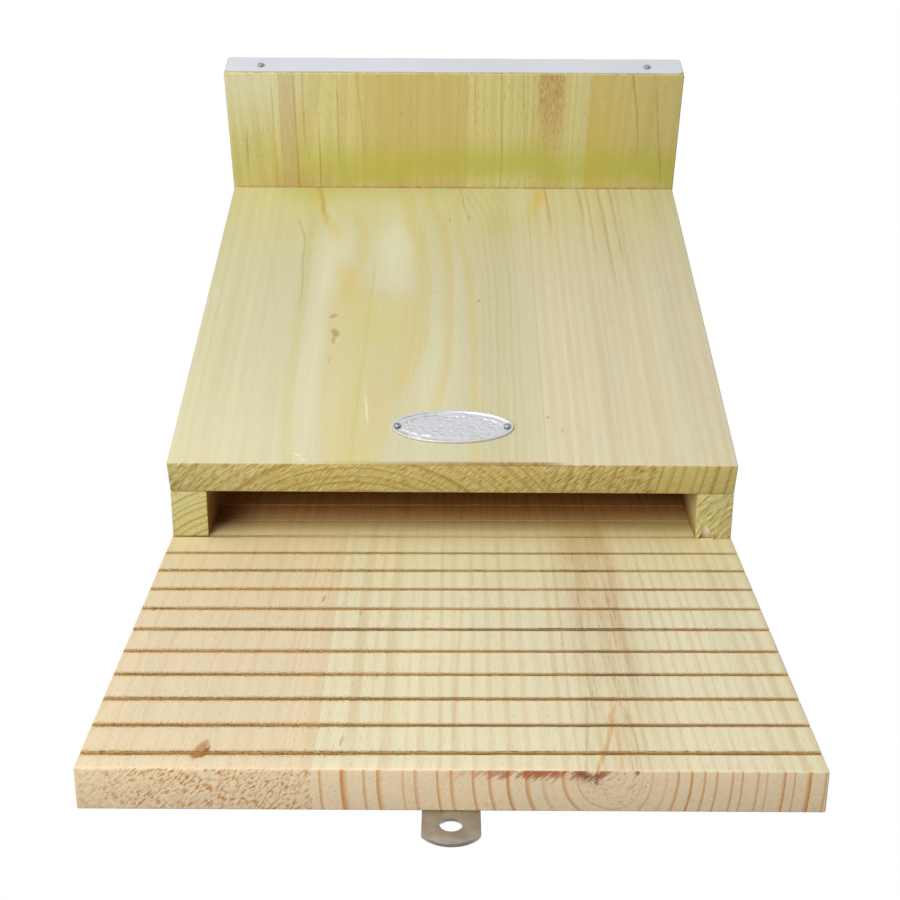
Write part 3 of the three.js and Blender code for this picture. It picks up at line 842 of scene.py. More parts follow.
def front_figure():
    """The bands of the front board's left stave, and the lines of both."""
    colours = pine_colours()
    gold, amber, moss, dark = colours.gold, colours.amber, colours.moss_line, colours.amber_line
    bands = [
        Streak([(196.0, -62.0), (150.0, -58.0), (100.0, -58.0), (40.0, -56.0), (-20.0, -56.0)],
               4.0, 5.0, 9.0, gold, 0.42),
        Streak([(168.0, -46.0), (130.0, -42.0), (80.0, -44.0), (30.0, -48.0), (-20.0, -48.0)],
               5.0, 10.0, 7.0, gold, 0.38),
        Streak([(160.0, -26.0), (125.0, -24.0), (85.0, -27.0), (45.0, -35.0), (-20.0, -42.0)],
               3.0, 12.0, 2.5, gold, 0.48),
        Streak([(300.0, -92.0), (262.0, -90.0), (240.0, -87.0), (140.0, -85.0), (60.0, -85.0),
                (-20.0, -80.0)], 1.0, 5.0, 3.0, colours.olive, 0.50),
        Streak([(250.0, -95.0), (210.0, -89.0), (150.0, -86.0)], 0.2, 1.0, 1.0, moss, 0.40),
        Streak([(300.0, -90.0), (262.0, -82.0), (224.0, -71.0)], 1.6, 6.0, 2.4, amber, 0.50),
        Streak([(300.0, -88.0), (262.0, -81.0), (240.0, -78.0)], 0.5, 1.6, 1.2, moss, 0.45),
        Streak([(262.0, -62.0), (222.0, -54.0), (196.0, -54.0), (168.0, -60.0)], 1.6, 3.0, 3.0, gold, 0.50),
        Streak([(300.0, -31.0), (250.0, -25.0), (205.0, -18.0), (170.0, -15.5), (120.0, -16.0),
                (60.0, -25.0)], 2.0, 8.0, 2.6, gold, 0.58),
        Streak([(300.0, -22.0), (262.0, -12.0), (235.0, -5.5), (205.0, -2.0), (110.0, -1.5), (20.0, -9.0)],
               1.0, 6.0, 1.8, gold, 0.55),
        Streak([(276.0, 3.0), (220.0, 4.5), (190.0, 9.5), (120.0, 12.0), (-20.0, 12.0)],
               0.9, 3.6, 1.2, gold, 0.55),
        Streak([(300.0, 2.0), (262.0, 7.0), (240.0, 10.0)], 0.2, 1.2, 0.5, dark, 0.45),
        Streak([(150.0, -68.0), (60.0, -67.0), (-20.0, -62.0)], 0.4, 1.6, 6.0, gold, 0.45),
        Streak([(200.0, -46.0), (-20.0, -50.0)], 0.4, 1.6, 1.2, colours.stain, 0.25),
    ]
    # Fine lines right of the golden bands draw together up the board
    for number in range(8):
        foot, lean_in = 17.0 + 3.9 * number, 9.0 - number
        top, neck = foot - 2.2 * lean_in, foot - 0.4 * lean_in
        points = [(300.0, top), (235.0, neck), (170.0, foot), (-20.0, foot - 1.0)]
        bands.append(Streak(points, 0.3, 1.5, 0.7, colours.tan, 0.30 + 0.10 * (number % 3)))
    # Dark lines that come down the right stave from the roof
    tops = (
        (58.5, 235.0, dark, 0.55), (79.0, 245.0, dark, 0.55), (84.5, 200.0, dark, 0.30),
        (92.5, 175.0, dark, 0.55), (99.5, 195.0, colours.heart, 0.35), (126.0, 240.0, dark, 0.30),
        (112.0, 262.0, dark, 0.25),
    )
    for across, foot, colour, strength in tops:
        bands.append(Streak([(300.0, across - 1.0), (foot, across + 1.0)], 0.4, 0.8, 1.2, colour, strength))
    # Towards the joint the left stave takes the right one's colour
    bands.append(Streak([(320.0, 44.5), (-20.0, 44.5)], 1.0, 14.0, 1.0, colours.front_right, 0.6))
    for across, width in ((62.0, 0.8), (78.0, 1.4), (92.0, 1.0), (103.0, 0.5)):
        bands.append(Streak([(320.0, across), (-20.0, across + 2.0)], width, 2.0, 1.6, colours.blush, 0.36))
    # Resin that comes down across the joint from the roof
    bands.append(Streak([(300.0, 59.0), (275.0, 55.0), (246.0, 49.0)], 1.5, 7.0, 3.0, amber, 0.6))
    return bands


def front_pine():
    """Front board: a flat-sawn stave with a golden middle, and a pinker one with upright grain."""
    colours = pine_colours()
    paint = Paint("pine_front", specular=0.3)
    across, inward, upward = leaning_axes()
    face_place = leaning() @ Vector((0, -boards().thickness - boards().gap, 0))
    grain = Grain(paint, face_place, across, inward, upward)
    joints = [46.5]
    staves = [
        Stave(-50.0, 78.0, 4.6, -0.012, colours.front_left, 0.0),
        Stave(-34.0, -16.0, 5.6, 0.012, colours.front_right, 60.0),
    ]
    plain = grain.across.over(-92.0, -80.0) * (1.0 - by_stave(grain, joints, [0.0, 1.0]))
    lines = by_stave(grain, joints, [0.42, 0.46]) * (1.0 - plain * 0.85)
    look = Look(
        late=by_colour(grain, joints, colours.tan, colours.blush), late_share=lines, start=0.30, drop=0.84,
        end_pale=by_colour(grain, [-92.0], colours.side_end, colours.front_end),
        end_late=colours.front_end_late, end_share=0.95, end_start=0.52,
        hatch=by_stave(grain, [-92.0, 44.0, 100.0], [0.8, 0.8, 1.0, 0.25]), crumb=(1.5, 0.13, 2.0),
        grit=colours.front_end_late, dash=colours.heart, dashes=0.14,
    )
    face, end, late, height = pine(grain, joints, staves, look, wander=3.0)
    white, amber, moss = colours.bleached, colours.amber, colours.stain
    heart, knot, pin_knot, moss_line = colours.heart, colours.knot, colours.pin_knot, colours.moss_line
    tinge = (grain.along + (grain.streaks(12.0, 90.0, 5.0) - 0.5) * 60.0).over(150.0, 300.0)
    face = paint.mix(tinge * 0.38, face, colours.tinge)
    face = draw_patches(grain, [
        Patch(-34.0, 205.0, 14.0, 48.0, white, 0.62), Patch(-70.0, 195.0, 12.0, 40.0, white, 0.4),
        Patch(-76.0, 90.0, 7.0, 120.0, white, 0.30), Patch(-60.0, 162.0, 7.0, 24.0, amber, 0.50),
        Patch(-42.0, 128.0, 20.0, 26.0, colours.tinge, 0.45), Patch(-88.0, 280.0, 18.0, 20.0, moss, 0.45),
        Patch(30.0, 240.0, 12.0, 18.0, moss, 0.30), Patch(-60.0, 290.0, 44.0, 14.0, moss, 0.30),
        Patch(-8.0, 60.0, 9.0, 60.0, white, 0.30), Patch(-120.0, 10.0, 40.0, 60.0, colours.front_right, 0.4),
    ], face)
    face = draw_streaks(grain, front_figure(), face)
    face = draw_marks(grain, [
        Mark(-66.5, 133.0, 2.4, 3.0, heart, 0.55, 0.4), Mark(-64.5, 116.0, 2.6, 5.0, pin_knot, 0.60, -0.2),
        Mark(-65.0, 109.0, 1.2, 5.0, pin_knot, 0.45), Mark(-66.0, 90.0, 0.6, 6.0, heart, 0.30),
        Mark(-44.0, 45.0, 1.0, 15.0, white, 0.55, -0.1), Mark(48.5, 39.0, 1.2, 1.5, knot, 0.30),
        Mark(55.0, 28.0, 0.8, 2.5, knot, 0.25), Mark(14.5, 150.0, 0.8, 2.4, knot, 0.35),
        Mark(10.0, 246.0, 0.5, 4.0, moss_line, 0.6, -0.3), Mark(-2.0, 243.0, 0.5, 4.0, moss_line, 0.6),
        Mark(-10.0, 160.0, 0.7, 1.2, knot, 0.25), Mark(-76.0, 7.0, 0.7, 1.6, colours.fresh, 0.6, -1.6),
        Mark(-73.5, 3.5, 0.7, 1.4, colours.fresh, 0.5, -1.2),
    ], face)
    # A brown burr where the saw left the sawn end's front edge
    burr = grain.across.over(-90.0, 30.0) * grain.across.over(60.0, 44.0)
    burr = burr * (grain.streaks(3.0, 30.0, 9.0) + 0.3)
    end = paint.mix(burr * grain.depth.over(1.4, 0.3) * 0.9, end, colours.burr)
    lip = (grain.along - grain.streaks(1.0, 400.0, 3.0) * 3.0).over(1.4, -0.6)
    face = paint.mix(burr * lip, face, colours.burr)
    return finish_pine(grain, face, end, late, height)


def draw_torn_foot(grain, low, high, face, end):
    """Fresh wood where the splinter came off a side board's foot, and a painted shadow beside it."""
    paint, settings, colours = grain.paint, boards(), pine_colours()
    edge = 0.35
    foot, top = low.z / MM + edge, (low.z + settings.chip_height) / MM
    back = (high.y - board_face()) / MM
    front = back - settings.chip_reach / MM
    near = settings.chip_inset / MM
    far = near + settings.chip_width / MM
    outward = grain.depth * -1.0
    torn = grain.along.over(foot, foot + edge) * grain.along.over(top + 1, top - 1)
    torn = torn * outward.over(near - 0.8, near - 0.2) * outward.over(far + 0.8, far + 0.2)
    torn = torn * grain.across.over(front - 1.0, front)
    face = paint.mix(torn * 0.9, face, colours.fresh)
    end = paint.mix(torn * 0.9, end, colours.fresh)
    # Painted shadow on the end, beside the torn notch's far wall
    corner = outward.over(far - 1.0, far - 0.2) * outward.over(far + 0.9, far + 0.3)
    corner = corner * grain.across.over(back - 3.0, back - 1.5)
    return face, paint.mix(corner * 0.8, end, colours.smear)


def side_pine(hand, sign):
    """Side board: sawn pine, its grain up the box. The right one has fresh wood where it is torn."""
    colours = pine_colours()
    paint = Paint(f"pine_side_{hand}", specular=0.3)
    low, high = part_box(f"side_board_{hand}")
    inner = low.x if sign > 0 else high.x
    grain = Grain(paint, (inner, board_face(), 0), (0, 1, 0), (-1, 0, 0), (0, 0, 1))
    pith = {"left": (36.0, -16.0), "right": (22.0, -44.0)}[hand]
    staves = [Stave(pith[0], pith[1], 3.6, 0.01, colours.side, 17.0 * sign)]
    look = Look(
        late=colours.gold, late_share=0.6, start=0.4, drop=0.88, end_pale=colours.side_end,
        end_late=colours.side_end_late, end_share=0.90, end_start=0.50,
        hatch={"left": 0.5, "right": 0.9}[hand],
        crumb={"left": (0.7, 1.6, 3.0), "right": (0.13, 1.5, 2.0)}[hand],
        grit=colours.side_end_late, dash=colours.heart, dashes=0.15,
    )
    face, end, late, height = pine(grain, [], staves, look, wander=4.0)
    # Painted shade on the inner faces: darker towards the back board and up the board, and more of it on the
    # left board
    if hand == "left":
        deep = grain.across.over(-30.0, -12.0) * 0.4 + 0.55
    else:
        deep = grain.across.over(-11.0, -1.0) * 0.65
    deep = (deep + grain.along.over(228.0, 275.0)).maths("MINIMUM", 0.95)
    brown = abs(grain.depth).over(0.6, 0.2) * deep * grain.along.over(188.0, 200.0)
    face = paint.mix(brown, face, colours.side_aged)
    if hand == "right":
        face, end = draw_torn_foot(grain, low, high, face, end)
    return finish_pine(grain, face, end, late, height)


def roof_pine():
    """Roof board: three staves, their grain from front to back, a flecked heart streak and a green tinge."""
    colours = pine_colours()
    paint = Paint("pine_roof", specular=0.3)
    across, inward, upward = leaning_axes()
    grain = Grain(paint, leaning() @ Vector((0, 0, boards().front_length)), across, upward, -inward)
    joints = [8.0, 83.0]
    staves = [
        Stave(-96.0, -34.0, 5.6, 0.05, colours.roof, 0.0),
        Stave(60.0, -4.0, 5.5, 0.04, colours.roof, 30.0),
        Stave(40.0, -60.0, 5.4, 0.05, colours.roof, 70.0),
    ]
    look = Look(
        late=colours.roof_warm, late_share=0.42, start=0.35, drop=0.88, end_pale=colours.front_end,
        end_late=colours.front_end_late, end_share=0.5, end_start=0.5, hatch=0.7,
        crumb=(1.5, 0.13, 2.0), grit=colours.front_end_late, dash=colours.amber_line, dashes=0.6,
    )
    face, end, late, height = pine(grain, joints, staves, look, wander=3.0)
    uneven = grain.streaks(8.0, 60.0, 17.0) + 0.5
    warm = grain.across.over(-74.0, -40.0) * grain.across.over(8.4, 7.6)
    amber = grain.across.over(83.0, 84.0) * grain.across.over(112.0, 84.0)
    face = paint.mix((warm * 0.62 + grain.across.over(83.0, 84.0) * 0.45) * uneven, face, colours.roof_warm)
    face = paint.mix(amber * grain.along.over(110.0, 50.0) * 0.55, face, colours.amber)
    corner = grain.across.over(-70.0, -120.0) * grain.along.over(45.0, 90.0)
    face = paint.mix(corner * 0.5, face, colours.bleached)
    heart = (grain.across + (grain.streaks(4.0, 26.0, 2.0) - 0.5) * 9.0).over(48.0, 56.0)
    heart = heart * grain.across.over(72.0, 64.0) * (grain.along.over(25.0, 90.0) * 0.7 + 0.3)
    flecks = grain.streaks(0.6, 5.0, 19.0, detail=3.0).over(0.42, 0.62)
    face = paint.mix(heart * (flecks * 0.45 + 0.32), face, colours.roof_heart)
    # A green tinge in front of the front board, then a paler strip, and a brown line at the joint itself
    near = grain.along + (grain.streaks(20.0, 60.0, 5.0) - 0.5) * 22.0
    near = near.over(58.0, 34.0) * near.over(18.0, 30.0)
    face = paint.mix(near * (grain.across.over(-130.0, -60.0) * 0.40 + 0.26), face, colours.stain)
    ragged = grain.streaks(5.0, 20.0, 23.0, detail=4.0)
    line = (grain.along - ragged * 6.0).over(16.5, 13.5) * grain.along.over(12.0, 16.0)
    face = paint.mix(line * 0.6, face, colours.roof_heart)
    face = draw_patches(grain, [Patch(-100.0, 20.0, 34.0, 10.0, colours.amber_line, 0.45)], face)
    red, dark = colours.heart, colours.pit
    face = draw_streaks(grain, [
        Streak([(120.0, -102.0), (0.0, -103.0)], 3.6, 1.5, 2.0, colours.pink, 0.50),
        Streak([(120.0, -107.0), (0.0, -107.5)], 0.1, 0.5, 0.6, dark, 0.30),
        Streak([(120.0, -97.5), (0.0, -98.0)], 0.2, 0.8, 0.8, dark, 0.35),
        Streak([(120.0, -92.0), (50.0, -92.5)], 0.2, 0.8, 0.6, dark, 0.30),
        Streak([(70.0, -84.0), (10.0, -84.0)], 0.2, 0.8, 0.7, dark, 0.40),
        Streak([(94.0, -71.0), (40.0, -72.0)], 0.2, 0.8, 0.7, dark, 0.35),
        Streak([(95.0, -112.0), (20.0, -112.0)], 0.2, 0.7, 0.7, dark, 0.25),
        Streak([(60.0, -128.5), (36.0, -129.0)], 0.3, 0.7, 0.7, dark, 0.45),
        Streak([(110.0, -60.0), (40.0, -56.0)], 0.2, 1.0, 0.8, red, 0.30),
        Streak([(110.0, -38.0), (20.0, -38.0)], 0.6, 4.0, 1.0, colours.amber, 0.35),
        Streak([(110.0, 108.0), (45.0, 115.0)], 0.3, 0.9, 0.7, colours.roof_heart, 0.50),
        Streak([(90.0, 124.0), (20.0, 131.0)], 0.3, 0.9, 0.7, colours.roof_heart, 0.35),
        Streak([(110.0, 76.0), (0.0, 76.0)], 5.0, 2.5, 1.0, colours.bleached, 0.12),
        Streak([(110.0, 29.0), (20.0, 30.0)], 0.2, 0.6, 0.6, dark, 0.25),
        Streak([(110.0, 12.0), (60.0, 13.0)], 0.2, 0.6, 0.6, dark, 0.25),
        Streak([(110.0, 42.0), (40.0, 44.0)], 0.2, 0.6, 0.6, dark, 0.25),
    ], face)
    return finish_pine(grain, face, end, late, height)


def metal_coordinates(paint, scale):
    coordinates = paint.node("ShaderNodeTexCoord", {}, {}, "Object")
    return paint.node("ShaderNodeMapping", {}, {"Vector": coordinates, "Scale": [scale / MM] * 3})


def metal_noise(paint, scale, detail=3.0):
    inputs = {"Vector": metal_coordinates(paint, scale), "Scale": 1.0, "Detail": detail}
    return paint.node("ShaderNodeTexNoise", {}, inputs)


def zinc_finish():
    """Rolled zinc that has dulled: cloudy, with a faint speckle."""
    paint = Paint("zinc_sheet", metallic=0.45)
    cloud = metal_noise(paint, 0.03)
    speckle = metal_noise(paint, 0.9, 2.0)
    colour = paint.scaled(metal_colours().zinc, cloud * 0.12 + speckle * 0.14 + 0.87)
    roughness = cloud * 0.16 + speckle * 0.08 + 0.44
    return paint.finish(colour, roughness, paint.bump(speckle * 0.5 + cloud, metal().relief, 0.4))


def plate_finish():
    """Stamped plate: satin, with darker low spots."""
    paint = Paint("plate_metal", metallic=0.6)
    speckle = metal_noise(paint, 1.4, 3.0)
    colour = paint.scaled(metal_colours().plate, speckle * 0.16 + 0.92)
    return paint.finish(colour, speckle * 0.2 + 0.2, paint.bump(speckle, metal().relief, 0.4))


def steel_finish(name, colour, roughness):
    """Plated steel with a faint speckle and grime."""
    paint = Paint(name, metallic=0.85)
    grime = metal_noise(paint, 0.12, 4.0)
    speckle = metal_noise(paint, 1.1, 2.0)
    shade = paint.scaled(colour, grime.over(0.3, 0.75) * 0.22 + speckle * 0.12 + 0.82)
    return paint.finish(shade, grime * 0.25 + roughness, paint.bump(speckle, metal().relief, 0.4))


# Pieces


def seat_plane():
    """A place and a normal of the plane just under the roof board."""
    settings = boards()
    upward = leaning().to_3x3().col[2]
    return leaning() @ Vector((0, 0, settings.front_length - settings.gap)), upward


def kerf_bars(low, high):
    """The stack of bars that cuts the kerfs."""
    settings = boards()
    middle_x, reach = (low.x + high.x) / 2, (high.x - low.x) * 0.55
    up, deep = settings.kerf_width / 2, settings.kerf_depth
    count = int((high.z - settings.first_kerf) / settings.kerf_pitch)
    bars = block("kerf_bars", (middle_x - reach, low.y - deep, -up), (middle_x + reach, low.y + deep, up))
    modify(
        bars, "ARRAY", count=count, use_relative_offset=False, use_constant_offset=True,
        constant_offset_displace=(0, 0, settings.kerf_pitch),
    )
    skew = Matrix.Rotation(-settings.kerf_skew, 4, "Y")
    place(bars, Matrix.Translation((0, 0, settings.first_kerf)) @ skew)
    return bars


def make_back_board():
    """The long back board: sloped under the roof, with eased edges and torn kerfs across its face."""
    settings = boards()
    low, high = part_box("back_board")
    board = block("back_board_pine", low, high)
    trim(board, *seat_plane())
    round_edges(board, settings.arris)
    sizes, upright = metal(), Matrix.Identity(4)
    wide, narrow = sizes.screw_head / 2 + settings.gap, sizes.screw_shank / 2 + settings.gap
    for node in sorted(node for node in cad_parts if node.startswith("back_screw")):
        profile = [(wide, wide), (wide, 0), (narrow, narrow - wide), (narrow, -wide)]
        sink = turned("countersink", SCREW_SIDES, profile)
        place(sink, seat(node, upright, (0, 1, 0)))
        cut_out(board, sink)
    cut_out(board, kerf_bars(low, high))
    rim, floor_of_kerf = settings.kerf_width / 2, low.y + settings.kerf_depth

    def on_rim(vert):
        height = vert.co.z - vert.co.x * math.tan(settings.kerf_skew) - settings.first_kerf
        level = height / settings.kerf_pitch
        off = abs(level - round(level)) * settings.kerf_pitch
        return vert.co.y < floor_of_kerf + CLOSE and abs(off - rim) < 2 * CLOSE

    # Fine columns along the rims, which then wander up and down as torn fibres do
    for cuts in (100, 3):
        with editing(board, "EDGE"):
            pick(board, "edges", lambda edge: all(on_rim(vert) for vert in edge.verts)
                 and abs(edge.verts[0].co.x - edge.verts[1].co.x) > 10 * CLOSE)
            bpy.ops.mesh.subdivide(number_cuts=cuts)
    inner = high.x - 2 * settings.arris
    group(board, "torn", lambda vert: on_rim(vert) and abs(vert.co.x) < inner)
    roughen(board, "torn", settings.kerf_fuzz, settings.kerf_fibre, "Z", depth=3)
    soften(board, BOARD_SHARP)
    hand_over(board, landing_pine(), "pine_back", "back_board")


def splinter(foot):
    """The shape torn off a side board's foot: widest and highest at the back board, with a thin tip."""
    settings = boards()
    start = foot + Vector((settings.chip_inset, -settings.chip_reach, -settings.arris))
    stop = foot + Vector((settings.chip_inset + settings.chip_width, settings.arris, settings.chip_height))
    shape = block("splinter", start, stop)
    ridge = Vector((start.x + settings.chip_width * 0.45, start.y, start.z))
    with editing(shape, "VERT"):
        pick(shape, "verts", lambda vert: vert.co.y < foot.y - settings.chip_reach / 2)
        bpy.ops.transform.resize(value=(0.15, 1, 1), center_override=ridge)
        pick(shape, "verts", lambda vert: vert.co.y < foot.y - settings.chip_reach / 2 and vert.co.z > foot.z)
        bpy.ops.transform.translate(value=(0, 0, settings.arris / 2 - settings.chip_height))
        bpy.ops.mesh.select_all(action="SELECT")
        bpy.ops.mesh.subdivide(number_cuts=9)
        bpy.ops.mesh.quads_convert_to_tris()
    group(shape, "all", lambda vert: True)
    roughen(shape, "all", settings.chip_width * 0.1, settings.chip_width * 0.2, "X", depth=3)
    face_out(shape)
    return shape


def make_side_boards():
    """The two wedge-shaped side boards. A splinter is gone from the right one's foot."""
    for hand, sign in HANDS:
        low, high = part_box(f"side_board_{hand}")
        board = block(f"side_board_{hand}_pine", low, high)
        trim(board, *seat_plane())
        trim(board, slot_corner(), -leaning().to_3x3().col[1])
        face_out(board)
        round_edges(board, boards().arris * 0.8)
        if hand == "right":
            cut_out(board, splinter(Vector((low.x, high.y, low.z))))
        soften(board, BOARD_SHARP)
        hand_over(board, side_pine(hand, sign), "pine_side", f"side_board_{hand}")


def make_front_board():
    """The leaning front board."""
    settings = boards()
    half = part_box("front_board")[1].x
    face = -settings.thickness - settings.gap
    far_corner = (half, -settings.gap, settings.front_length - settings.gap)
    board = block("front_board_pine", (-half, face, 0), far_corner)
    round_edges(board, settings.arris)
    place(board, leaning())
    soften(board, BOARD_SHARP)
    hand_over(board, front_pine(), "pine_front", "front_board")


def roof_span():
    """The roof board's front and rear ends, along the leaning frame's Y."""
    low, high = box_in("roof_board", leaning())
    return low.y, high.y


def make_roof_board():
    """The roof board, square to the front board."""
    settings = boards()
    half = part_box("roof_board")[1].x
    front, rear = roof_span()
    low = settings.front_length
    board = block("roof_board_pine", (-half, front, low), (half, rear, low + settings.roof_thickness))
    round_edges(board, settings.arris)
    place(board, leaning())
    soften(board, BOARD_SHARP)
    hand_over(board, roof_pine(), "pine_roof", "roof_board")


def make_roof_sheet():
    """The zinc sheet: folded down at the front and the rear, a little uneven, and dimpled by its nails."""
    settings, sizes = boards(), metal()
    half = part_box("roof_board")[1].x - sizes.sheet_inset
    front, rear = roof_span()
    lift = settings.gap + sizes.sheet_thickness - sizes.sheet_wave / 2
    near, far = front - lift, rear + lift
    top = settings.front_length + settings.roof_thickness + lift
    bpy.ops.object.select_all(action="DESELECT")
    bpy.ops.mesh.primitive_plane_add(size=1, location=(0, (near + far) / 2, top))
    bpy.context.object.scale = (2 * half, far - near, 1)
    sheet = named("roof_sheet_zinc")
    with editing(sheet, "EDGE"):
        for end, flange in ((near, sizes.front_flange), (far, sizes.rear_flange)):
            pick(sheet, "edges", lambda edge: abs(middle(edge).y - end) < CLOSE
                 and middle(edge).z > top - CLOSE)
            bpy.ops.mesh.extrude_region_move(TRANSFORM_OT_translate={"value": (0, 0, -flange)})
    with editing(sheet, "VERT"):
        pick(sheet, "verts", lambda vert: vert.co.z < top - sizes.rear_flange / 2)
        bpy.ops.mesh.bevel(offset=sizes.flange_corner, segments=6, affect="VERTICES")
    with editing(sheet, "EDGE"):
        pick(sheet, "edges", lambda edge: all(vert.co.z > top - CLOSE for vert in edge.verts)
             and min(abs(middle(edge).y - near), abs(middle(edge).y - far)) < CLOSE)
        bpy.ops.mesh.bevel(offset=sizes.sheet_bend, segments=5, affect="EDGES")
    # Scored fine enough to wave and to be dented
    columns, rows, spans = 92, 7, 40
    score(sheet, [(half * (2 * n / columns - 1), 0, 0) for n in range(1, columns)], (1, 0, 0))
    score(sheet, [(0, 0, top - sizes.front_flange * n / rows) for n in range(1, rows)], (0, 0, 1))
    score(sheet, [(0, near + (far - near) * n / spans, 0) for n in range(1, spans)], (0, 1, 0))
    group(sheet, "all", lambda vert: True)
    roughen(sheet, "all", sizes.sheet_wave, sizes.wave_size, "NORMAL")
    for node in sheet_nails():
        low, high = box_in(node, leaning())
        spot, end = (low + high) / 2, near if "front" in node else far
        with editing(sheet, "VERT"):
            pick(sheet, "verts", lambda vert: abs(vert.co.y - end) < sizes.sheet_thickness
                 and math.hypot(vert.co.x - spot.x, vert.co.z - spot.z) < sizes.dimple_core)
            bpy.ops.transform.translate(
                value=(0, math.copysign(sizes.dimple, -end), 0), use_proportional_edit=True,
                proportional_edit_falloff="SMOOTH", proportional_size=sizes.dimple_reach,
            )
    face_out(sheet)
    modify(sheet, "SOLIDIFY", thickness=sizes.sheet_thickness, offset=-1.0)
    place(sheet, leaning())
    soften(sheet, BOARD_SHARP)
    hand_over(sheet, zinc_finish(), "zinc_sheet", "roof_sheet")


def make_oval_plate():
    """The plate: a raised rim, a bead inside it and a hammered field with nothing written on it."""
    settings, sizes = boards(), metal()
    bpy.ops.object.select_all(action="DESELECT")
    bpy.ops.mesh.primitive_circle_add(vertices=128, radius=0.5, fill_type="NGON")
    bpy.context.object.scale = (sizes.plate_width, sizes.plate_height, 1)
    plate = named("oval_plate_metal")
    step, rise = sizes.plate_field * 0.5, sizes.plate_field * 0.25
    with editing(plate):
        bpy.ops.mesh.select_all(action="SELECT")
        bpy.ops.mesh.extrude_region_move(TRANSFORM_OT_translate={"value": (0, 0, sizes.plate_thickness)})
        bpy.ops.mesh.inset(thickness=sizes.plate_rim)
        bpy.ops.mesh.inset(thickness=step, depth=-sizes.plate_field)
        bpy.ops.mesh.inset(thickness=sizes.bead_inset - sizes.plate_rim - step)
        bpy.ops.mesh.inset(thickness=step, depth=rise)
        bpy.ops.mesh.inset(thickness=sizes.bead_width - 2 * step)
        bpy.ops.mesh.inset(thickness=step, depth=-rise)
        bpy.ops.mesh.delete(type="ONLY_FACE")
    field = sizes.plate_thickness - sizes.plate_field
    reach = sizes.plate_width / 2 - sizes.bead_inset - sizes.bead_width

    def in_field(vert):
        return abs(vert.co.z - field) < CLOSE and abs(vert.co.x) < reach + CLOSE

    with editing(plate, "EDGE"):
        pick(plate, "edges", lambda edge: edge.is_boundary and edge.verts[0].co.z > CLOSE)
        bpy.ops.mesh.fill_grid(span=20)
        bpy.ops.mesh.subdivide(number_cuts=2)
    face_out(plate)
    modify(plate, "BEVEL", width=sizes.edge, segments=3, limit_method="ANGLE", angle_limit=math.radians(35))
    group(plate, "field", in_field)
    dents = bpy.data.textures.new("hammer_marks", "VORONOI")
    dents.noise_scale = sizes.hammer_size
    modify(
        plate, "DISPLACE", texture=dents, strength=sizes.hammer, mid_level=0.6, direction="Z",
        texture_coords="LOCAL", vertex_group="field",
    )
    spot = Vector((0, -settings.thickness - settings.gap, sizes.plate_place))
    place(plate, leaning() @ Matrix.Translation(spot) @ Matrix.Rotation(math.pi / 2, 4, "X"))
    soften(plate, PLATE_SHARP)
    hand_over(plate, plate_finish(), "plate_metal", "oval_plate")


def box_in(node, base):
    """A node's lowest and highest corners in a frame."""
    back = base.inverted()
    places = [back @ vert.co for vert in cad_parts[node].data.vertices]
    low = Vector([min(place[axis] for place in places) for axis in range(3)])
    high = Vector([max(place[axis] for place in places) for axis in range(3)])
    return low, high


def seat(node, base, outward):
    """The top of a fastener's head: where it is, with +Z along the way that it faces in a frame."""
    low, high = box_in(node, base)
    outward = Vector(outward)
    half = (high - low) / 2
    spot = (low + high) / 2 + outward * abs(half.dot(outward))
    return base @ Matrix.Translation(spot) @ outward.to_track_quat("Z", "Y").to_matrix().to_4x4()


def turned(name, sides, rings_down):
    """A shaft drawn down from its top by rings, each a radius and a height."""
    bpy.ops.object.select_all(action="DESELECT")
    (radius, height), rest = rings_down[0], rings_down[1:]
    bpy.ops.mesh.primitive_circle_add(
        vertices=sides, radius=radius, fill_type="NGON", location=(0, 0, height)
    )
    shaft = named(name)
    with editing(shaft):
        bpy.ops.mesh.select_all(action="SELECT")
        for wider, lower in rest:
            bpy.ops.mesh.extrude_region_move(TRANSFORM_OT_translate={"value": (0, 0, lower - height)})
            share = wider / radius
            bpy.ops.transform.resize(value=(share, share, 1), center_override=(0, 0, lower))
            radius, height = wider, lower
    face_out(shaft)
    return shaft


def copies(piece, seats, finish, slot, ending, turn=0.0):
    """A copy of a fastener on each seat, with a mesh of its own. The first model goes."""
    for number, (node, matrix) in enumerate(seats.items()):
        twin = bpy.data.objects.new(f"{node}_{ending}", piece.data.copy())
        twin.data.name = twin.name
        bpy.context.scene.collection.objects.link(twin)
        place(twin, matrix @ Matrix.Rotation(turn * number, 4, "Z"))
        soften(twin)
        hand_over(twin, finish, slot, node)
    bpy.data.objects.remove(piece)


def nail_model(head, shank, reach):
    """A nail with a shallow domed head. Its top is at the origin."""
    rise, turns = metal().head_rise, (0.12, 0.4, 0.7, 1.0, 1.3, 1.5708)
    dome = [(head / 2 * math.sin(turn), -rise * (1 - math.cos(turn))) for turn in turns]
    shaft = [(shank / 2, -rise * 1.1), (shank / 2, -reach + shank), (shank / 8, -reach)]
    return turned("nail", NAIL_SIDES, [*dome, *shaft])


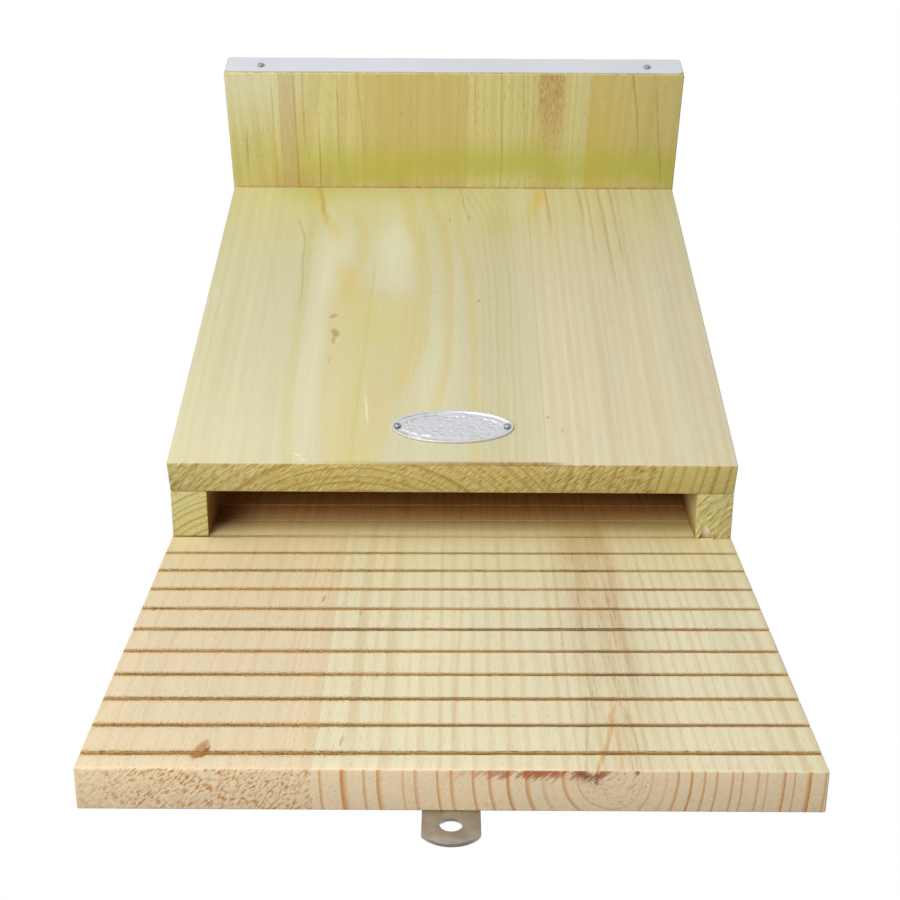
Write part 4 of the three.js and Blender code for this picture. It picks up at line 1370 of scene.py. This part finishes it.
def screw_model(name, head, shank, reach, point):
    """A countersunk screw with a cross recess. Its flat top is at the origin."""
    sizes = metal()
    rim, cone = head * 0.04, (head - shank) / 2
    profile = [
        (head / 2 - rim, 0), (head / 2, -rim), (head / 2 - rim / 2, -rim * 2), (shank / 2, -rim - cone),
        (shank / 2, -reach + point), (shank / 8, -reach),
    ]
    screw = turned(name, SCREW_SIDES, profile)
    share = head / sizes.screw_head
    span, width, deep = sizes.recess_span * share, sizes.recess_width * share, sizes.recess_depth * share
    for along, beside in ((span, width), (width, span)):
        arm = block("recess", (-along / 2, -beside / 2, -deep), (along / 2, beside / 2, deep))
        with editing(arm):
            pick(arm, "faces", lambda face: face.normal.z < -0.9)
            bpy.ops.transform.resize(value=(0.55, 0.55, 1), center_override=(0, 0, -deep))
        cut_out(screw, arm)
    return screw


def sheet_nails():
    return [f"sheet_nail_{end}_{hand}" for end in ("front", "rear") for hand, _ in HANDS]


def make_sheet_nails():
    """The nails in the sheet's flanges."""
    sizes = metal()
    finish = steel_finish("sheet_nail_steel", metal_colours().nail, roughness=0.3)
    seats = {node: seat(node, leaning(), (0, -1 if "front" in node else 1, 0)) for node in sheet_nails()}
    nail = nail_model(sizes.sheet_nail_head, sizes.sheet_nail_shank, sizes.sheet_nail)
    copies(nail, seats, finish, "nail_steel", "domed")


def make_plate_nails():
    """The nails of the oval plate."""
    sizes = metal()
    finish = steel_finish("plate_nail_steel", metal_colours().nail, roughness=0.25)
    seats = {f"plate_nail_{hand}": seat(f"plate_nail_{hand}", leaning(), (0, -1, 0)) for hand, _ in HANDS}
    nail = nail_model(sizes.plate_nail_head, sizes.plate_nail_shank, sizes.plate_nail)
    copies(nail, seats, finish, "nail_steel", "domed")


def make_hangers():
    """The holed steel strips at both ends of the back board."""
    finish = steel_finish("hanger_steel", metal_colours().hanger, roughness=0.32)
    for end in ("lower", "upper"):
        strip = rounded_copy(f"hanger_{end}", f"hanger_{end}_strip", metal().hanger_edge)
        hand_over(strip, finish, "hanger_steel", f"hanger_{end}")


def make_screws():
    """The countersunk screws of the boards and the hangers."""
    finish = steel_finish("screw_steel", metal_colours().screw, roughness=0.25)
    sizes, upright = metal(), Matrix.Identity(4)
    head, shank, point = sizes.screw_head, sizes.screw_shank, sizes.point
    small = (sizes.small_head, sizes.small_shank, sizes.small_screw, sizes.small_point)
    kinds = (
        ("back_screw", (head, shank, sizes.back_screw, point), upright, (0, 1, 0)),
        ("roof_screw", (head, shank, sizes.roof_screw, point), leaning(), (0, 0, 1)),
        ("hanger_screw", small, upright, (0, 1, 0)),
    )
    for kind, model_sizes, base, outward in kinds:
        nodes = sorted(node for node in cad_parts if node.startswith(kind))
        seats = {node: seat(node, base, outward) for node in nodes}
        copies(screw_model(kind, *model_sizes), seats, finish, "screw_steel", "plated", turn=1.1)


# Stage


def area_light(name, spot, target, size, power):
    light = bpy.data.lights.new(name, "AREA")
    light.size = size
    light.energy = power
    holder = bpy.data.objects.new(name, light)
    holder.location = spot
    holder.rotation_euler = (Vector(target) - Vector(spot)).to_track_quat("-Z", "Y").to_euler()
    bpy.context.scene.collection.objects.link(holder)


def make_world(light):
    """White to the camera, in reflections and through glass, and a soft light on the object."""
    world = bpy.data.worlds.new("studio")
    world.use_nodes = True
    tree = world.node_tree
    path = tree.nodes.new("ShaderNodeLightPath")
    share = path.outputs["Is Camera Ray"]
    for ray in ("Is Glossy Ray", "Is Transmission Ray"):
        either = tree.nodes.new("ShaderNodeMath")
        either.operation = "MAXIMUM"
        tree.links.new(share, either.inputs[0])
        tree.links.new(path.outputs[ray], either.inputs[1])
        share = either.outputs[0]
    strength = tree.nodes.new("ShaderNodeMapRange")
    strength.inputs["To Min"].default_value = light
    tree.links.new(share, strength.inputs["Value"])
    tree.links.new(strength.outputs[0], tree.nodes["Background"].inputs["Strength"])
    tree.nodes["Background"].inputs["Color"].default_value = (1, 1, 1, 1)
    bpy.context.scene.world = world


def make_camera(view):
    camera = bpy.data.objects.new("camera", bpy.data.cameras.new("camera"))
    camera.data.lens = view.lens
    camera.data.sensor_width = SENSOR_WIDTH
    camera.location = view.place
    level = Matrix.Rotation(math.pi, 4, "X")
    tilt = Matrix.Rotation(view.pitch - math.pi / 2, 4, "X")
    camera.rotation_euler = (level @ tilt @ Matrix.Rotation(view.roll, 4, "Z")).to_euler()
    bpy.context.scene.collection.objects.link(camera)
    bpy.context.scene.camera = camera


def make_floor(view):
    bpy.ops.object.select_all(action="DESELECT")
    bpy.ops.mesh.primitive_plane_add(size=view.floor_size, location=(0, 0, view.floor))
    floor = named("floor")
    paint = Paint("floor_paint", roughness=0.9)
    paint.connect(paint.surface.inputs["Base Color"], (0.9, 0.9, 0.9))
    glow = paint.node("ShaderNodeEmission", {}, {"Color": (1, 1, 1), "Strength": 1.0})
    seen = paint.node("ShaderNodeLightPath", {}, {}, "Is Camera Ray")
    inputs = {0: seen * 0.7, 1: Signal(paint, paint.surface.outputs[0]), 2: glow}
    shown = paint.node("ShaderNodeMixShader", {}, inputs)
    paint.tree.links.new(shown.socket, paint.tree.nodes["Material Output"].inputs["Surface"])
    floor.data.materials.append(paint.material)


def make_stage():
    """Camera at the photograph's angle, soft lights, and a pale floor far below the hung box."""
    view = bpy.context.scene.bat_box_view
    make_camera(view)
    make_floor(view)
    target = Vector(BOX_MIDDLE)
    for name, (way, size) in LIGHTS.items():
        area_light(name, target + Vector(way), target, size, getattr(view, name))
    make_world(view.sky)
    bpy.context.scene.view_settings.view_transform = "Standard"


# Operators, panel and registration


class BAT_BOX_OT_stage(bpy.types.Operator):
    """Sets up the camera, the lights, the floor and the white surroundings"""

    bl_idname = "bat_box.stage"
    bl_label = "Stage"

    def execute(self, context):
        make_stage()
        return {"FINISHED"}


class BAT_BOX_OT_back_board(bpy.types.Operator):
    """Makes the long back board with its kerfs"""

    bl_idname = "bat_box.back_board"
    bl_label = "Back board"

    def execute(self, context):
        make_back_board()
        return {"FINISHED"}


class BAT_BOX_OT_side_boards(bpy.types.Operator):
    """Makes the two wedge-shaped side boards"""

    bl_idname = "bat_box.side_boards"
    bl_label = "Side boards"

    def execute(self, context):
        make_side_boards()
        return {"FINISHED"}


class BAT_BOX_OT_front_board(bpy.types.Operator):
    """Makes the leaning front board"""

    bl_idname = "bat_box.front_board"
    bl_label = "Front board"

    def execute(self, context):
        make_front_board()
        return {"FINISHED"}


class BAT_BOX_OT_roof_board(bpy.types.Operator):
    """Makes the roof board"""

    bl_idname = "bat_box.roof_board"
    bl_label = "Roof board"

    def execute(self, context):
        make_roof_board()
        return {"FINISHED"}


class BAT_BOX_OT_roof_sheet(bpy.types.Operator):
    """Folds the zinc sheet over the roof board"""

    bl_idname = "bat_box.roof_sheet"
    bl_label = "Roof sheet"

    def execute(self, context):
        make_roof_sheet()
        return {"FINISHED"}


class BAT_BOX_OT_sheet_nails(bpy.types.Operator):
    """Nails the zinc sheet's flanges"""

    bl_idname = "bat_box.sheet_nails"
    bl_label = "Sheet nails"

    def execute(self, context):
        make_sheet_nails()
        return {"FINISHED"}


class BAT_BOX_OT_oval_plate(bpy.types.Operator):
    """Makes the oval plate"""

    bl_idname = "bat_box.oval_plate"
    bl_label = "Oval plate"

    def execute(self, context):
        make_oval_plate()
        return {"FINISHED"}


class BAT_BOX_OT_plate_nails(bpy.types.Operator):
    """Nails the oval plate"""

    bl_idname = "bat_box.plate_nails"
    bl_label = "Plate nails"

    def execute(self, context):
        make_plate_nails()
        return {"FINISHED"}


class BAT_BOX_OT_hangers(bpy.types.Operator):
    """Makes the two hangers"""

    bl_idname = "bat_box.hangers"
    bl_label = "Hangers"

    def execute(self, context):
        make_hangers()
        return {"FINISHED"}


class BAT_BOX_OT_screws(bpy.types.Operator):
    """Makes every countersunk screw"""

    bl_idname = "bat_box.screws"
    bl_label = "Screws"

    def execute(self, context):
        make_screws()
        return {"FINISHED"}


OPERATORS = (
    BAT_BOX_OT_stage,
    BAT_BOX_OT_back_board,
    BAT_BOX_OT_side_boards,
    BAT_BOX_OT_front_board,
    BAT_BOX_OT_roof_board,
    BAT_BOX_OT_roof_sheet,
    BAT_BOX_OT_sheet_nails,
    BAT_BOX_OT_oval_plate,
    BAT_BOX_OT_plate_nails,
    BAT_BOX_OT_hangers,
    BAT_BOX_OT_screws,
)
SETTINGS = {
    "bat_box_boards": BoardSettings,
    "bat_box_metal": MetalSettings,
    "bat_box_pine": PineSettings,
    "bat_box_metal_colours": MetalColours,
    "bat_box_view": ViewSettings,
}


class BAT_BOX_PT_panel(bpy.types.Panel):
    """Lists the bat box's pieces and its settings"""

    bl_idname = "BAT_BOX_PT_panel"
    bl_label = "Bat box"
    bl_space_type = "VIEW_3D"
    bl_region_type = "UI"
    bl_category = "Bat box"

    def draw(self, context):
        for each in OPERATORS:
            self.layout.operator(each.bl_idname)
        for name, settings in SETTINGS.items():
            values = getattr(context.scene, name)
            box = self.layout.box()
            for setting in settings.__annotations__:
                box.prop(values, setting)


def register():
    for each in (*SETTINGS.values(), *OPERATORS, BAT_BOX_PT_panel):
        bpy.utils.register_class(each)
    for name, settings in SETTINGS.items():
        setattr(bpy.types.Scene, name, bpy.props.PointerProperty(type=settings))


def unregister():
    for name in SETTINGS:
        delattr(bpy.types.Scene, name)
    for each in (BAT_BOX_PT_panel, *OPERATORS, *SETTINGS.values()):
        bpy.utils.unregister_class(each)


def main():
    register()
    bpy.ops.bat_box.stage()
    bpy.ops.bat_box.back_board()
    bpy.ops.bat_box.side_boards()
    bpy.ops.bat_box.front_board()
    bpy.ops.bat_box.roof_board()
    bpy.ops.bat_box.roof_sheet()
    bpy.ops.bat_box.sheet_nails()
    bpy.ops.bat_box.oval_plate()
    bpy.ops.bat_box.plate_nails()
    bpy.ops.bat_box.hangers()
    bpy.ops.bat_box.screws()


if __name__ == "__main__":
    main()
